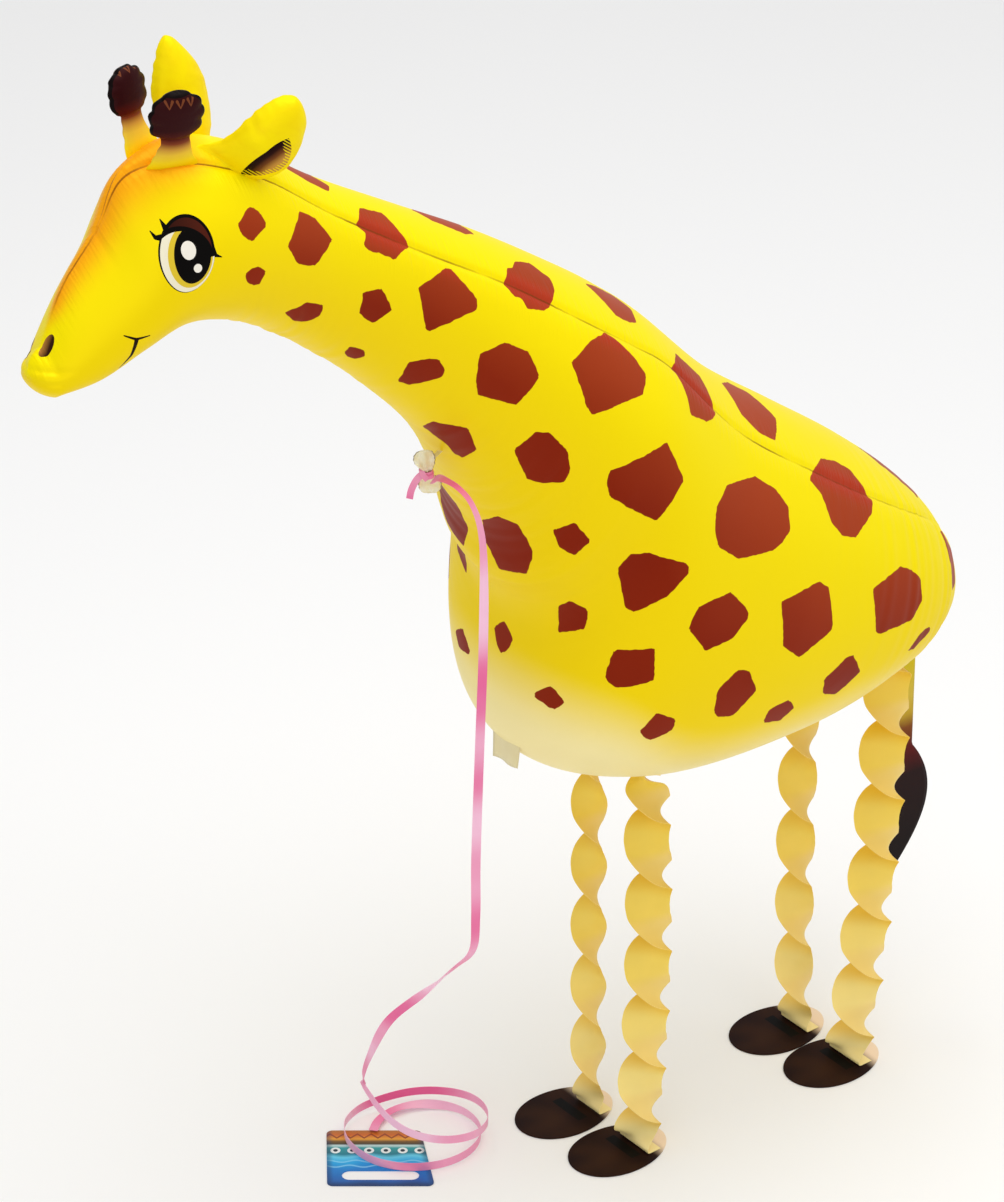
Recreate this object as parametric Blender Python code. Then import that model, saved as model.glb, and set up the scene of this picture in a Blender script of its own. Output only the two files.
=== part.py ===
"""Walking giraffe balloon: a sealed foil envelope that stands on four twisted paper legs.

The giraffe faces -Y and its left side is +X.  Every size below is in millimetres and is turned
into metres when a shape is made.  Shapes are laid out from a point on the floor between the
feet; the whole part is then moved back, so that its origin lies under the middle of its length.
"""
import math

import bmesh
import bpy
from mathutils import Matrix, Vector
from mathutils.bvhtree import BVHTree

MM = 0.001
GAP = 0.3  # clearance between pieces that touch
BACKWARD_SHIFT = 170.71  # from the layout point between the feet to the part's origin

# Envelope: stations from the snout to the rump.  Each row gives the top and the bottom of the
# section in the middle plane, the half width, and how far the section narrows to a ridge on top.
# top y, top z, bottom y, bottom z, half width, ridge
STATIONS = (
    (-509, 717, -508, 687, 21, 0.40),
    (-493, 750, -482, 689, 32, 0.62),
    (-471, 778, -456, 700, 42, 0.68),
    (-454, 809, -427, 708, 49, 0.68),
    (-417, 819, -396, 701, 50, 0.42),
    (-372, 802, -367, 686, 46, 0.20),
    (-321, 766, -334, 662, 43, 0.08),
    (-260, 729, -291, 624, 47, 0.05),
    (-200, 693, -242, 569, 60, 0.05),
    (-140, 652, -207, 502, 80, 0.05),
    (-112, 631, -198, 465, 89, 0.05),
    (-84, 607, -181, 430, 96, 0.05),
    (-29, 551, -183, 339, 110, 0.05),
    (30, 506, -112, 293, 114, 0.05),
    (84, 465, -5, 285, 106, 0.05),
    (127, 426, 68, 296, 90, 0.05),
    (153, 390, 104, 307, 68, 0.03),
    (159, 358, 131, 313, 45, 0.00),
)
SNOUT_CAP = 11
RUMP_CAP = 18
RINGS_PER_STATION = 3
CAP_RINGS = 4
SECTION_SIDES = 28

# Horns: a stem that widens into a scalloped tuft.
HORN_HEIGHT = 54
HORN_STEM_FOOT = 17
HORN_STEM_NECK = 11.5
HORN_TUFT_MIDDLE = 38
HORN_TUFT_HALF_WIDTH = 21
HORN_HALF_THICKNESS = 6
HORN_SCALLOPS = 4
HORN_LEFT = {"base": (18, -429, 808), "up": (9, -3, 53), "across": (11, 39, -4)}
HORN_RIGHT = {"base": (-18, -429, 808), "up": (-9, -3, 53), "across": (-24, 32, -4)}

# Ears: leaf-shaped lobes; the left one is swept back, the right one stands up.
EAR_HALF_WIDTH = 20.5
EAR_HALF_THICKNESS = 9
EAR_LEFT = {"length": 53, "base": (24, -390, 800), "up": (10, 32, 37), "across": (10, 18, -24)}
EAR_RIGHT = {"length": 66, "base": (-23, -389, 795), "up": (-19, -3, 65), "across": (3, 49, 4)}
LOBE_SINK = 12  # how deep a horn or an ear runs into the head
LOBE_SIDES = 12

# Film tab: a loose end of foil at the front of the belly.
FILM_TAB_SIZE = (24, 1.2, 26)
FILM_TAB_CENTRE = (0, -179, 335)

# Valve tail: clear film gathered into a bow by the ribbon.
BOW_KNOT = (12, -248.5, 552.5)
BOW_AXIS = (8, -8, 30)
BOW_ACROSS = (0.616, 0.788, 0)
BOW_UPPER = 22
BOW_LOWER = 19
BOW_HALF_WIDTH = 9.5
BOW_WAIST = 2.4
BOW_NECK = 2.2  # half of the stretch that the ribbon squeezes
BOW_HALF_THICKNESS = 1.0
BOW_ROOT_HEIGHT = 13
BOW_ROOT_SIZE = (9, 1.4)

# Ribbon: a flat curling ribbon, with its knot, its hanging run and its loose loops on the floor.
RIBBON_TUBE_RADIUS = 1.5
RIBBON_POINTS = 78
KNOT_RADIUS = 4.4
KNOT_TUBE_RADIUS = 1.5
KNOT_END = ((12, -253, 550.5), (9, -256, 547), (6.5, -257.5, 541), (6, -256.5, 535))
RIBBON_RUN = (
    (18.3, -249.5, 550.7), (34, -255, 560), (51, -256, 562), (62, -254, 555), (66, -250, 536),
    (66, -248, 505), (65, -248, 450), (63, -248.5, 400), (61, -249, 350), (60, -250, 300),
    (61, -251, 262), (55, -249, 234), (34, -248, 209), (-2, -246, 170), (-40, -243, 129),
    (-68, -237, 87),
)
LOOP_CENTRE = (-75, -193)
# angle in degrees from +X, radius and height of the loops, from the first turn to the tag
LOOPS = (
    (247, 38, 50), (290, 36, 33), (335, 44, 26), (375, 49, 22), (425, 42, 17), (480, 34, 12.5),
    (535, 36, 9), (585, 49, 5.5), (620, 48, 4), (685, 43, 4), (760, 41, 4), (800, 36, 4),
    (850, 29, 4), (905, 28, 4), (952, 30.5, 2.6),
)

# Tag: a card that lies on the floor, wider at its lower edge, with a slot for the fingers.
TAG_CENTRE = (-69.5, -232)
TAG_CORNERS = ((-32, -31), (38, -31), (28, 31), (-34, 31))
TAG_CORNER_RADIUS = 4
TAG_THICKNESS = 0.8
TAG_TURN = math.radians(52)
SLOT_CENTRE = (2.5, -19.5)
SLOT_LENGTH = 50.5
SLOT_WIDTH = 10.4

# Legs: twisted paper strips, each glued to its foot and to the belly by a short tab.
STRIP_THICKNESS = 0.5
STRIP_TAB = 11
HALF_TURN_AT_FOOT = 39.6
HALF_TURN_GROWTH = 1 / 30.0  # a half turn grows by this much for each millimetre of height
TURN_START = math.radians(-27)
FOLD_SHARPNESS = 0.3  # the strip lies flat for a while, then turns over quickly
FLAT_FACING = math.radians(52)  # direction that the flat stretches face
FIRST_BEND_HEIGHT = 5.5  # the strip turns out of its glued direction below this height
FOLD_LEAN = -0.28  # rise of a fold line for each millimetre towards +Y
LEAN_HEIGHT = 20  # the lean builds up over this height, and dies away below the belly
STRIP_BEND = 2.5
BELLY_CLEARANCE = 1.3  # from the curved belly to the middle of the flat tab
STRIP_STEP = 4.2
STRIP_SWAY_HEIGHT = 22
# foot centre, place where the strip meets the belly, how far the strip sways back, half width
LEGS = {
    "front_left": ((20, -102), (22, -83), 15, 15),
    "front_right": ((-35, -103), (-31, -89), 17, 12),
    "rear_left": ((29, 75), (27, 112), 9, 15),
    "rear_right": ((-23, 71), (-23, 81), 7, 13),
}

# Feet: oval cards, broader at the toe.
FOOT_HALF_LENGTH = 36
FOOT_HALF_WIDTH = 25.5
FOOT_THICKNESS = 1.2
FOOT_SIDES = 36
HEEL_TO_STRIP = 29

# Tail: a flat strip that hangs under the rump and ends in a curved tuft.
TAIL_HALF_WIDTH = 11.5
TAIL_Y = 151
TAIL_TUFT_TOP = 203
TAIL_TIP = 109
TAIL_THICKNESS = 0.5
TAIL_CLEARANCE = 1.0  # from the curved rump to the straight stretches of the top edge
TAIL_TOP_POINTS = 7
TUFT_HALF_WIDTH = 19
TUFT_BULGE = 10  # how far the tuft's middle swings back
TUFT_TIP_SHIFT = -5


def smooth(rows, place):
    """Catmull-Rom value at a fractional row number."""
    last = len(rows) - 1
    index = min(max(int(math.floor(place)), 0), last - 1)
    u = place - index
    p1, p2 = rows[index], rows[index + 1]
    p0 = rows[index - 1] if index > 0 else [2 * a - b for a, b in zip(p1, p2)]
    p3 = rows[index + 2] if index + 2 <= last else [2 * b - a for a, b in zip(p1, p2)]
    value = []
    for a, b, c, d in zip(p0, p1, p2, p3):
        cubic = 2 * b + (c - a) * u + (2 * a - 5 * b + 4 * c - d) * u ** 2
        value.append(0.5 * (cubic + (3 * b - a - 3 * c + d) * u ** 3))
    return value


def smooth_path(points, count):
    """Evenly spaced points along the smooth curve through the given points."""
    fine = [Vector(smooth(points, i / 40)) for i in range(40 * (len(points) - 1) + 1)]
    lengths = [0.0]
    for a, b in zip(fine, fine[1:]):
        lengths.append(lengths[-1] + (b - a).length)
    path = []
    j = 0
    for k in range(count):
        target = lengths[-1] * k / (count - 1)
        while j < len(fine) - 2 and lengths[j + 1] < target:
            j += 1
        share = (target - lengths[j]) / (lengths[j + 1] - lengths[j])
        path.append(fine[j].lerp(fine[j + 1], share))
    return path


def material(name, colour, roughness, metallic=0.0):
    mat = bpy.data.materials.new(name)
    mat.use_nodes = True
    shader = mat.node_tree.nodes["Principled BSDF"]
    shader.inputs["Base Color"].default_value = (*colour, 1.0)
    shader.inputs["Roughness"].default_value = roughness
    shader.inputs["Metallic"].default_value = metallic
    mat.diffuse_color = (*colour, 1.0)
    return mat


def add_object(name, bm, mat, collection, smooth_angle=50):
    """Turn a bmesh in millimetres into an object in metres."""
    bmesh.ops.recalc_face_normals(bm, faces=bm.faces)
    bmesh.ops.scale(bm, vec=(MM, MM, MM), verts=bm.verts)
    mesh = bpy.data.meshes.new(name)
    bm.to_mesh(mesh)
    bm.free()
    mesh.materials.append(mat)
    mesh.shade_smooth()
    mesh.set_sharp_from_angle(angle=math.radians(smooth_angle))
    obj = bpy.data.objects.new(name, mesh)
    collection.objects.link(obj)
    return obj


def loft(rings, start_point=None, end_point=None):
    """Join rings of equal length; each end closes on a point, or on a flat face."""
    bm = bmesh.new()
    verts = [[bm.verts.new(p) for p in ring] for ring in rings]
    sides = len(rings[0])
    for low, high in zip(verts, verts[1:]):
        for j in range(sides):
            k = (j + 1) % sides
            bm.faces.new((low[j], low[k], high[k], high[j]))
    for ring, point in ((verts[0], start_point), (verts[-1], end_point)):
        if point is None:
            bm.faces.new(ring)
            continue
        pole = bm.verts.new(point)
        for j in range(sides):
            bm.faces.new((ring[j], ring[(j + 1) % sides], pole))
    return bm


def envelope_section(station, shift=0.0, scale=1.0):
    """Ring of one station, moved along its own normal and scaled about its centre."""
    top_y, top_z, bottom_y, bottom_z, half_width, ridge = station
    centre = Vector((0, (top_y + bottom_y) / 2, (top_z + bottom_z) / 2))
    rise = Vector((0, (top_y - bottom_y) / 2, (top_z - bottom_z) / 2))
    along = Vector((0, rise.z, -rise.y)).normalized()
    ring = []
    for j in range(SECTION_SIDES):
        angle = 2 * math.pi * j / SECTION_SIDES
        narrowing = 1 - ridge * ((1 + math.cos(angle)) / 2) ** 2
        side = Vector((half_width * math.sin(angle) * narrowing, 0, 0))
        ring.append(centre + along * shift + (side + rise * math.cos(angle)) * scale)
    return ring, centre + along * shift


def envelope_cap(station, depth):
    """Rings that round off one end of the envelope, and the point that closes it."""
    rings = []
    for k in range(1, CAP_RINGS + 1):
        angle = 0.5 * math.pi * k / (CAP_RINGS + 1)
        rings.append(envelope_section(station, depth * math.sin(angle), math.cos(angle))[0])
    return rings, envelope_section(station, depth)[1]


def envelope():
    count = (len(STATIONS) - 1) * RINGS_PER_STATION
    rings = []
    for i in range(count + 1):
        rings.append(envelope_section(smooth(STATIONS, i / RINGS_PER_STATION))[0])
    snout, snout_tip = envelope_cap(STATIONS[0], -SNOUT_CAP)
    rump, rump_tip = envelope_cap(STATIONS[-1], RUMP_CAP)
    return loft(snout[::-1] + rings + rump, snout_tip, rump_tip)


def frame_matrix(base, up, across):
    """Placing matrix whose Z is up, whose X is across, and whose origin is the base."""
    z = Vector(up).normalized()
    x = Vector(across)
    x = (x - z * x.dot(z)).normalized()
    y = z.cross(x)
    return Matrix.Translation(Vector(base)) @ Matrix((x, y, z)).transposed().to_4x4()


def lobe(levels, tip_height):
    """Puffed flat lobe: levels are (height, half width, half thickness)."""
    rings = []
    for height, half_width, half_thickness in levels:
        ring = []
        for j in range(LOBE_SIDES):
            angle = 2 * math.pi * j / LOBE_SIDES
            x = half_width * math.cos(angle)
            ring.append(Vector((x, half_thickness * math.sin(angle), height)))
        rings.append(ring)
    return loft(rings, None, Vector((0, 0, tip_height)))


def horn():
    steps = 16
    levels = [(-LOBE_SINK, HORN_STEM_FOOT + 3, HORN_HALF_THICKNESS)]
    for i in range(steps):
        height = HORN_HEIGHT * i / steps
        stem = HORN_STEM_FOOT + (HORN_STEM_NECK - HORN_STEM_FOOT) * min(height / 27, 1)
        rise = (height - HORN_TUFT_MIDDLE) / (HORN_HEIGHT - HORN_TUFT_MIDDLE)
        tuft = HORN_TUFT_HALF_WIDTH * math.sqrt(max(1 - rise ** 2, 0))
        scallop = 1 + 0.05 * math.cos(HORN_SCALLOPS * math.pi * rise)
        half_width = max(stem if height < HORN_TUFT_MIDDLE else 0, tuft * scallop)
        levels.append((height, half_width, min(HORN_HALF_THICKNESS, half_width * 0.7)))
    return lobe(levels, HORN_HEIGHT)


def ear(length):
    steps = 12
    levels = [(-LOBE_SINK, EAR_HALF_WIDTH * 0.6, EAR_HALF_THICKNESS * 0.7)]
    for i in range(steps):
        share = i / steps
        leaf = math.sin(math.pi * (0.17 + 0.83 * share) ** 1.1) ** 0.75
        half_thickness = EAR_HALF_THICKNESS * min(leaf, 1)
        levels.append((length * share, EAR_HALF_WIDTH * leaf, half_thickness))
    return lobe(levels, length)


def box(size, matrix):
    bm = bmesh.new()
    bmesh.ops.create_cube(bm, size=1.0)
    bmesh.ops.scale(bm, vec=size, verts=bm.verts)
    bmesh.ops.transform(bm, matrix=matrix, verts=bm.verts)
    return bm


def join(name, body, added):
    """Unite a shape with a body; the added shape itself isn't rendered."""
    added.hide_render = True
    added.display_type = "WIRE"
    union = body.modifiers.new(name, "BOOLEAN")
    union.operation = "UNION"
    union.object = added


def build_balloon(parts, joined):
    foil = material("yellow_foil", (0.95, 0.80, 0.03), 0.32)
    balloon = add_object("balloon", envelope(), foil, parts)
    lobes = []
    for name, size in (("horn_left", HORN_LEFT), ("horn_right", HORN_RIGHT)):
        placing = frame_matrix(size["base"], size["up"], size["across"])
        lobes.append((name, horn(), placing))
    for name, size in (("ear_left", EAR_LEFT), ("ear_right", EAR_RIGHT)):
        placing = frame_matrix(size["base"], size["up"], size["across"])
        lobes.append((name, ear(size["length"]), placing))
    placing = Matrix.Translation(FILM_TAB_CENTRE)
    lobes.append(("film_tab", box(FILM_TAB_SIZE, placing), Matrix.Identity(4)))
    for name, bm, placing in lobes:
        bmesh.ops.transform(bm, matrix=placing, verts=bm.verts)
        join(name, balloon, add_object(name, bm, foil, joined))
    return balloon


def build_valve_tail(parts, joined, balloon):
    film = material("clear_film", (0.88, 0.88, 0.84), 0.15)
    steps = 8
    levels = []
    for reach, direction in ((BOW_LOWER, -1), (BOW_UPPER, 1)):
        for i in range(steps + 1):
            share = i / steps
            swell = (BOW_HALF_WIDTH * reach / BOW_UPPER - BOW_WAIST) * math.sin(math.pi * share ** 0.8)
            levels.append((direction * (BOW_NECK + (reach - BOW_NECK) * share), BOW_WAIST + swell))
    rings = []
    for height, half_width in sorted(levels):
        rings.append([Vector((half_width * x, BOW_HALF_THICKNESS * y, height))
                      for x, y in ((-1, 0), (-0.8, -1), (0.8, -1), (1, 0), (0.8, 1), (-0.8, 1))])
    placing = frame_matrix(BOW_KNOT, BOW_AXIS, BOW_ACROSS)
    bm = loft(rings)
    bmesh.ops.transform(bm, matrix=placing, verts=bm.verts)
    tail = add_object("valve_tail", bm, film, parts)
    # the root of the tail runs from the upper lobe of the bow to the chest
    tree = BVHTree.FromObject(balloon, bpy.context.evaluated_depsgraph_get())
    start = placing @ Vector((0, 0, BOW_ROOT_HEIGHT))
    chest = tree.find_nearest(start * MM)[0] / MM
    direction = (chest - start).normalized()
    length = (chest - start).length - GAP
    middle = start + direction * length / 2
    root = box((*BOW_ROOT_SIZE, length), frame_matrix(middle, direction, BOW_ACROSS))
    join("valve_tail_root", tail, add_object("valve_tail_root", root, film, joined))


def add_cord(name, points, radius, mat, collection, closed=False):
    """Round tube along the points, as a curve object in metres."""
    curve = bpy.data.curves.new(name, "CURVE")
    curve.dimensions = "3D"
    curve.bevel_depth = radius * MM
    curve.bevel_resolution = 2
    curve.use_fill_caps = True
    spline = curve.splines.new("POLY")
    spline.points.add(len(points) - 1)
    for target, point in zip(spline.points, points):
        target.co = (*(Vector(point) * MM), 1.0)
    spline.use_cyclic_u = closed
    curve.materials.append(mat)
    obj = bpy.data.objects.new(name, curve)
    collection.objects.link(obj)
    return obj


def ribbon_route():
    """The hanging run, then the loose loops on the floor."""
    route = [Vector(p) for p in RIBBON_RUN]
    turns = smooth_path(LOOPS, 40)
    for degrees, radius, height in turns:
        angle = math.radians(degrees)
        x = LOOP_CENTRE[0] + radius * math.cos(angle)
        y = LOOP_CENTRE[1] + radius * math.sin(angle)
        route.append(Vector((x, y, height)))
    return smooth_path(route, RIBBON_POINTS)


def build_ribbon(parts, joined):
    pink = material("pink_ribbon", (0.93, 0.42, 0.64), 0.35)
    placing = frame_matrix(BOW_KNOT, BOW_AXIS, BOW_ACROSS)
    circle = []
    for i in range(16):
        angle = 2 * math.pi * i / 16
        circle.append(placing @ Vector((KNOT_RADIUS * math.cos(angle),
                                        KNOT_RADIUS * math.sin(angle), 0)))
    knot = add_cord("knot_loop", circle, KNOT_TUBE_RADIUS, pink, joined, closed=True)
    end = add_cord("knot_short_end", smooth_path(KNOT_END, 8), KNOT_TUBE_RADIUS * 0.8, pink, joined)
    meshes = [as_mesh(obj) for obj in (knot, end)]
    parts.objects.link(meshes[0])
    joined.objects.unlink(meshes[0])
    meshes[0].name = "ribbon_knot"
    join("short_end", meshes[0], meshes[1])
    add_cord("ribbon", ribbon_route(), RIBBON_TUBE_RADIUS, pink, parts)


def as_mesh(curve_object):
    """Replace a curve object by a welded mesh object in the same collection."""
    depsgraph = bpy.context.evaluated_depsgraph_get()
    mesh = bpy.data.meshes.new_from_object(curve_object.evaluated_get(depsgraph))
    bm = bmesh.new()
    bm.from_mesh(mesh)
    bmesh.ops.remove_doubles(bm, verts=bm.verts, dist=0.00001)
    bm.to_mesh(mesh)
    bm.free()
    obj = bpy.data.objects.new(curve_object.name + "_mesh", mesh)
    obj.matrix_world = curve_object.matrix_world
    curve_object.users_collection[0].objects.link(obj)
    bpy.data.objects.remove(curve_object)
    return obj


def flat_piece(name, outlines, thickness, matrix, mat, collection):
    """Flat card from closed outlines in its own plane; the first is the rim, the rest are holes."""
    curve = bpy.data.curves.new(name, "CURVE")
    curve.dimensions = "2D"
    curve.fill_mode = "BOTH"
    curve.extrude = thickness / 2 * MM
    for outline in outlines:
        spline = curve.splines.new("POLY")
        spline.points.add(len(outline) - 1)
        for target, (x, y) in zip(spline.points, outline):
            target.co = (x * MM, y * MM, 0, 1)
        spline.use_cyclic_u = True
    curve.materials.append(mat)
    obj = bpy.data.objects.new(name, curve)
    placing = matrix.copy()
    placing.translation = placing.translation * MM
    obj.matrix_world = placing
    collection.objects.link(obj)
    return obj


def rounded_corners(corners, radius, steps=5):
    """Outline through the corners, each of them rounded off with an arc."""
    outline = []
    for i, corner in enumerate(corners):
        corner = Vector(corner)
        before = (Vector(corners[i - 1]) - corner).normalized()
        after = (Vector(corners[(i + 1) % len(corners)]) - corner).normalized()
        half_angle = before.angle(after) / 2
        centre = corner + (before + after).normalized() * (radius / math.sin(half_angle))
        first = corner + before * (radius / math.tan(half_angle)) - centre
        last = corner + after * (radius / math.tan(half_angle)) - centre
        for k in range(steps + 1):
            spoke = first.lerp(last, k / steps).normalized() * radius
            outline.append(tuple(centre + spoke))
    return outline


def build_tag(parts):
    card = material("printed_card", (0.15, 0.45, 0.70), 0.35)
    rim = rounded_corners(TAG_CORNERS, TAG_CORNER_RADIUS)
    half_length, half_width = SLOT_LENGTH / 2, SLOT_WIDTH / 2
    slot_corners = [(SLOT_CENTRE[0] + x * half_length, SLOT_CENTRE[1] + y * half_width)
                    for x, y in ((-1, -1), (1, -1), (1, 1), (-1, 1))]
    slot = rounded_corners(slot_corners, half_width - 0.05)
    placing = (Matrix.Translation((*TAG_CENTRE, TAG_THICKNESS / 2))
               @ Matrix.Rotation(TAG_TURN, 4, "Z"))
    flat_piece("tag", [rim, slot], TAG_THICKNESS, placing, card, parts)


def build_feet(parts):
    card = material("brown_card", (0.06, 0.025, 0.012), 0.5)
    outline = []
    for i in range(FOOT_SIDES):
        angle = 2 * math.pi * i / FOOT_SIDES
        toe = 1 - 0.07 * math.sin(angle)  # the toe end is broader than the heel
        outline.append((FOOT_HALF_WIDTH * math.cos(angle) * toe,
                        FOOT_HALF_LENGTH * math.sin(angle)))
    for name, (centre, _, _, _) in LEGS.items():
        placing = Matrix.Translation((*centre, FOOT_THICKNESS / 2))
        flat_piece(f"foot_{name}", [outline], FOOT_THICKNESS, placing, card, parts)


def strip_angle(height):
    """Direction of the strip's width at a height above its glued end, from +X."""
    half_turns = math.log(1 + height * HALF_TURN_GROWTH / HALF_TURN_AT_FOOT) / HALF_TURN_GROWTH
    turn = TURN_START + math.pi * half_turns
    turn -= FOLD_SHARPNESS * math.sin(2 * turn)
    start = TURN_START - FOLD_SHARPNESS * math.sin(2 * TURN_START)
    glued = (FLAT_FACING - start) * math.exp(-(height / FIRST_BEND_HEIGHT) ** 2)
    return FLAT_FACING - turn - glued


def strip_section(centre, across, normal, half_width):
    corners = ((-1, -1), (1, -1), (1, 1), (-1, 1))
    return [centre + across * (a * half_width) + normal * (b * STRIP_THICKNESS / 2)
            for a, b in corners]


def leg_strip(leg, envelope_tree):
    """Twisted strip from a tab on the foot to a tab under the belly."""
    foot, belly, sway, half_width = leg
    low = FOOT_THICKNESS + GAP + STRIP_THICKNESS / 2
    base = Vector((foot[0], foot[1] + FOOT_HALF_LENGTH - HEEL_TO_STRIP, low))
    start = Vector((belly[0], belly[1], 100.0)) * MM
    hit, out, _, _ = envelope_tree.ray_cast(start, Vector((0, 0, 1)))
    head = hit / MM + out * BELLY_CLEARANCE
    x_axis = Vector((1, 0, 0))
    sections = []
    for back, rise, normal in ((STRIP_TAB, 0, (0, 0, -1)), (STRIP_BEND, 0, (0, 0, -1)),
                               (0.6, 0.5, (0, -0.7, -0.7))):
        centre = base + Vector((0, back, rise))
        sections.append(strip_section(centre, x_axis, Vector(normal), half_width))
    climb = head.z - base.z - 2 * STRIP_BEND
    steps = int(climb / STRIP_STEP)
    for i in range(steps + 1):
        height = climb * i / steps
        angle = strip_angle(height)
        across = Vector((math.cos(angle), math.sin(angle), 0))
        near_belly = max(0, 1 - (climb - height) / LEAN_HEIGHT)
        lean = FOLD_LEAN * across.y * min(height / LEAN_HEIGHT, 1)
        along_belly = -across.dot(out) / out.z
        across.z = lean + (along_belly - lean) * near_belly
        normal = Vector((math.sin(angle), -math.cos(angle), 0))
        share = height / (head.z - base.z)
        shift = sway * (1 - math.exp(-height / STRIP_SWAY_HEIGHT)) * (1 - share)
        centre = base.lerp(head, share) + Vector((0, shift, 0))
        centre.z = base.z + STRIP_BEND + height
        sections.append(strip_section(centre, across, normal, half_width))
    # the tab at the top bends over and lies against the belly
    across = (across - out * across.dot(out)).normalized()
    along = out.cross(across)
    for reach in (STRIP_BEND, STRIP_TAB):
        sections.append(strip_section(head + along * reach, across, out, half_width))
    return loft(sections)


def build_legs(parts, balloon):
    paper = material("yellow_paper", (0.86, 0.62, 0.14), 0.55)
    tree = BVHTree.FromObject(balloon, bpy.context.evaluated_depsgraph_get())
    for name, leg in LEGS.items():
        add_object(f"leg_{name}", leg_strip(leg, tree), paper, parts, smooth_angle=60)


def tuft_edges(share):
    """Front and back edge of the tuft, from its top (0) to its tip (1)."""
    middle = TUFT_BULGE * math.sin(math.pi * share) + TUFT_TIP_SHIFT * share ** 2
    swell = (TUFT_HALF_WIDTH - TAIL_HALF_WIDTH) * math.sin(math.pi * share ** 0.8)
    half = (TAIL_HALF_WIDTH + swell) * math.sqrt(1 - share ** 3)
    return middle - half, middle + half


def build_tail(parts, balloon):
    paper = material("tail_card", (0.55, 0.42, 0.05), 0.5)
    tree = BVHTree.FromObject(balloon, bpy.context.evaluated_depsgraph_get())
    top_edge = []
    for i in range(TAIL_TOP_POINTS):
        y = TAIL_HALF_WIDTH * (2 * i / (TAIL_TOP_POINTS - 1) - 1)
        hit = tree.ray_cast(Vector((0, TAIL_Y + y, 100)) * MM, Vector((0, 0, 1)))[0]
        top_edge.append((y, hit.z / MM - TAIL_CLEARANCE))
    front, back = [], []
    steps = 10
    for i in range(steps):
        share = i / steps
        height = TAIL_TUFT_TOP + (TAIL_TIP - TAIL_TUFT_TOP) * share
        front_edge, back_edge = tuft_edges(share)
        front.append((front_edge, height))
        back.append((back_edge, height))
    outline = front + [(TUFT_TIP_SHIFT, TAIL_TIP)] + back[::-1] + top_edge[::-1]
    upright = Matrix(((0, 0, 1), (1, 0, 0), (0, 1, 0))).to_4x4()
    placing = Matrix.Translation((0, TAIL_Y, 0)) @ upright
    flat_piece("tail", [outline], TAIL_THICKNESS, placing, paper, parts)


def main():
    for obj in list(bpy.data.objects):
        bpy.data.objects.remove(obj)
    parts = bpy.data.collections.new("walking_giraffe_balloon")
    joined = bpy.data.collections.new("joined_shapes")
    for collection in (parts, joined):
        bpy.context.scene.collection.children.link(collection)
    balloon = build_balloon(parts, joined)
    build_valve_tail(parts, joined, balloon)
    build_ribbon(parts, joined)
    build_tag(parts)
    build_feet(parts)
    build_legs(parts, balloon)
    build_tail(parts, balloon)
    for obj in bpy.data.objects:
        obj.location.y += BACKWARD_SHIFT * MM


main()
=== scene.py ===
"""Walking giraffe balloon, dressed: printed foil envelope, ribbon with its tag, twisted paper legs.

The pieces are laid out in millimetres from a point on the floor between the feet, as the solids
are, and are turned into metres when a mesh is made.  The giraffe faces -Y, its left side is +X.
"""
import math

import bmesh
import bpy
import numpy as np
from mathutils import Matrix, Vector
from mathutils.bvhtree import BVHTree


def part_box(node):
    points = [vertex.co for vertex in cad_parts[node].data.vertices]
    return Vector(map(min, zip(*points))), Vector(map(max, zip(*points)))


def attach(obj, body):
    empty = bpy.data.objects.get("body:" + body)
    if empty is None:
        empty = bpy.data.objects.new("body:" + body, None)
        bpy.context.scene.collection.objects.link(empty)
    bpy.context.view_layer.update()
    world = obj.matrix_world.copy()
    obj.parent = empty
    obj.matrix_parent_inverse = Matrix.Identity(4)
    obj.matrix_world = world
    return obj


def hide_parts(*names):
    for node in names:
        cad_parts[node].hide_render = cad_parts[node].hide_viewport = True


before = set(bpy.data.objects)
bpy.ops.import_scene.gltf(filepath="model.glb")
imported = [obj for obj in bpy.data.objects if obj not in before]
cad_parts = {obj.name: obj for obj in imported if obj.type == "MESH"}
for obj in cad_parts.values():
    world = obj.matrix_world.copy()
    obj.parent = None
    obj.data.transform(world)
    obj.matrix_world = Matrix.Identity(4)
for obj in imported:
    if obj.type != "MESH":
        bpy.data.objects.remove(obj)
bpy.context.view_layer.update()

MM = 0.001

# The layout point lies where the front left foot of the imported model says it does.
FRONT_LEFT_FOOT = Vector((20, -102, 0))
foot_low, foot_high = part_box("foot_front_left")
LAYOUT_POINT = (foot_low + foot_high) / 2 - FRONT_LEFT_FOOT * MM
LAYOUT_POINT.z = 0


# ---------------------------------------------------------------------------------------------
# Studio: a pale floor, one wide soft light above and the camera.  None of it is part of the
# giraffe.  The long lens stands well back, a little above the giraffe and to its left front.
CAMERA_TARGET = Vector((-215.0, -14.8, 277.7))
CAMERA_AZIMUTH = math.radians(52)
CAMERA_ELEVATION = math.radians(30)
CAMERA_DISTANCE = 4000
CAMERA_LENS = 179.7  # millimetres of focal length on a sensor 36 mm high
FLOOR_SIZE = 30.0
FLOOR_COLOUR = (0.96, 0.96, 0.96)
SKY_STRENGTH = 0.62


def world_point(point):
    """A layout point in millimetres as a point of the frame in metres."""
    return Vector(point) * MM + LAYOUT_POINT


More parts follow.
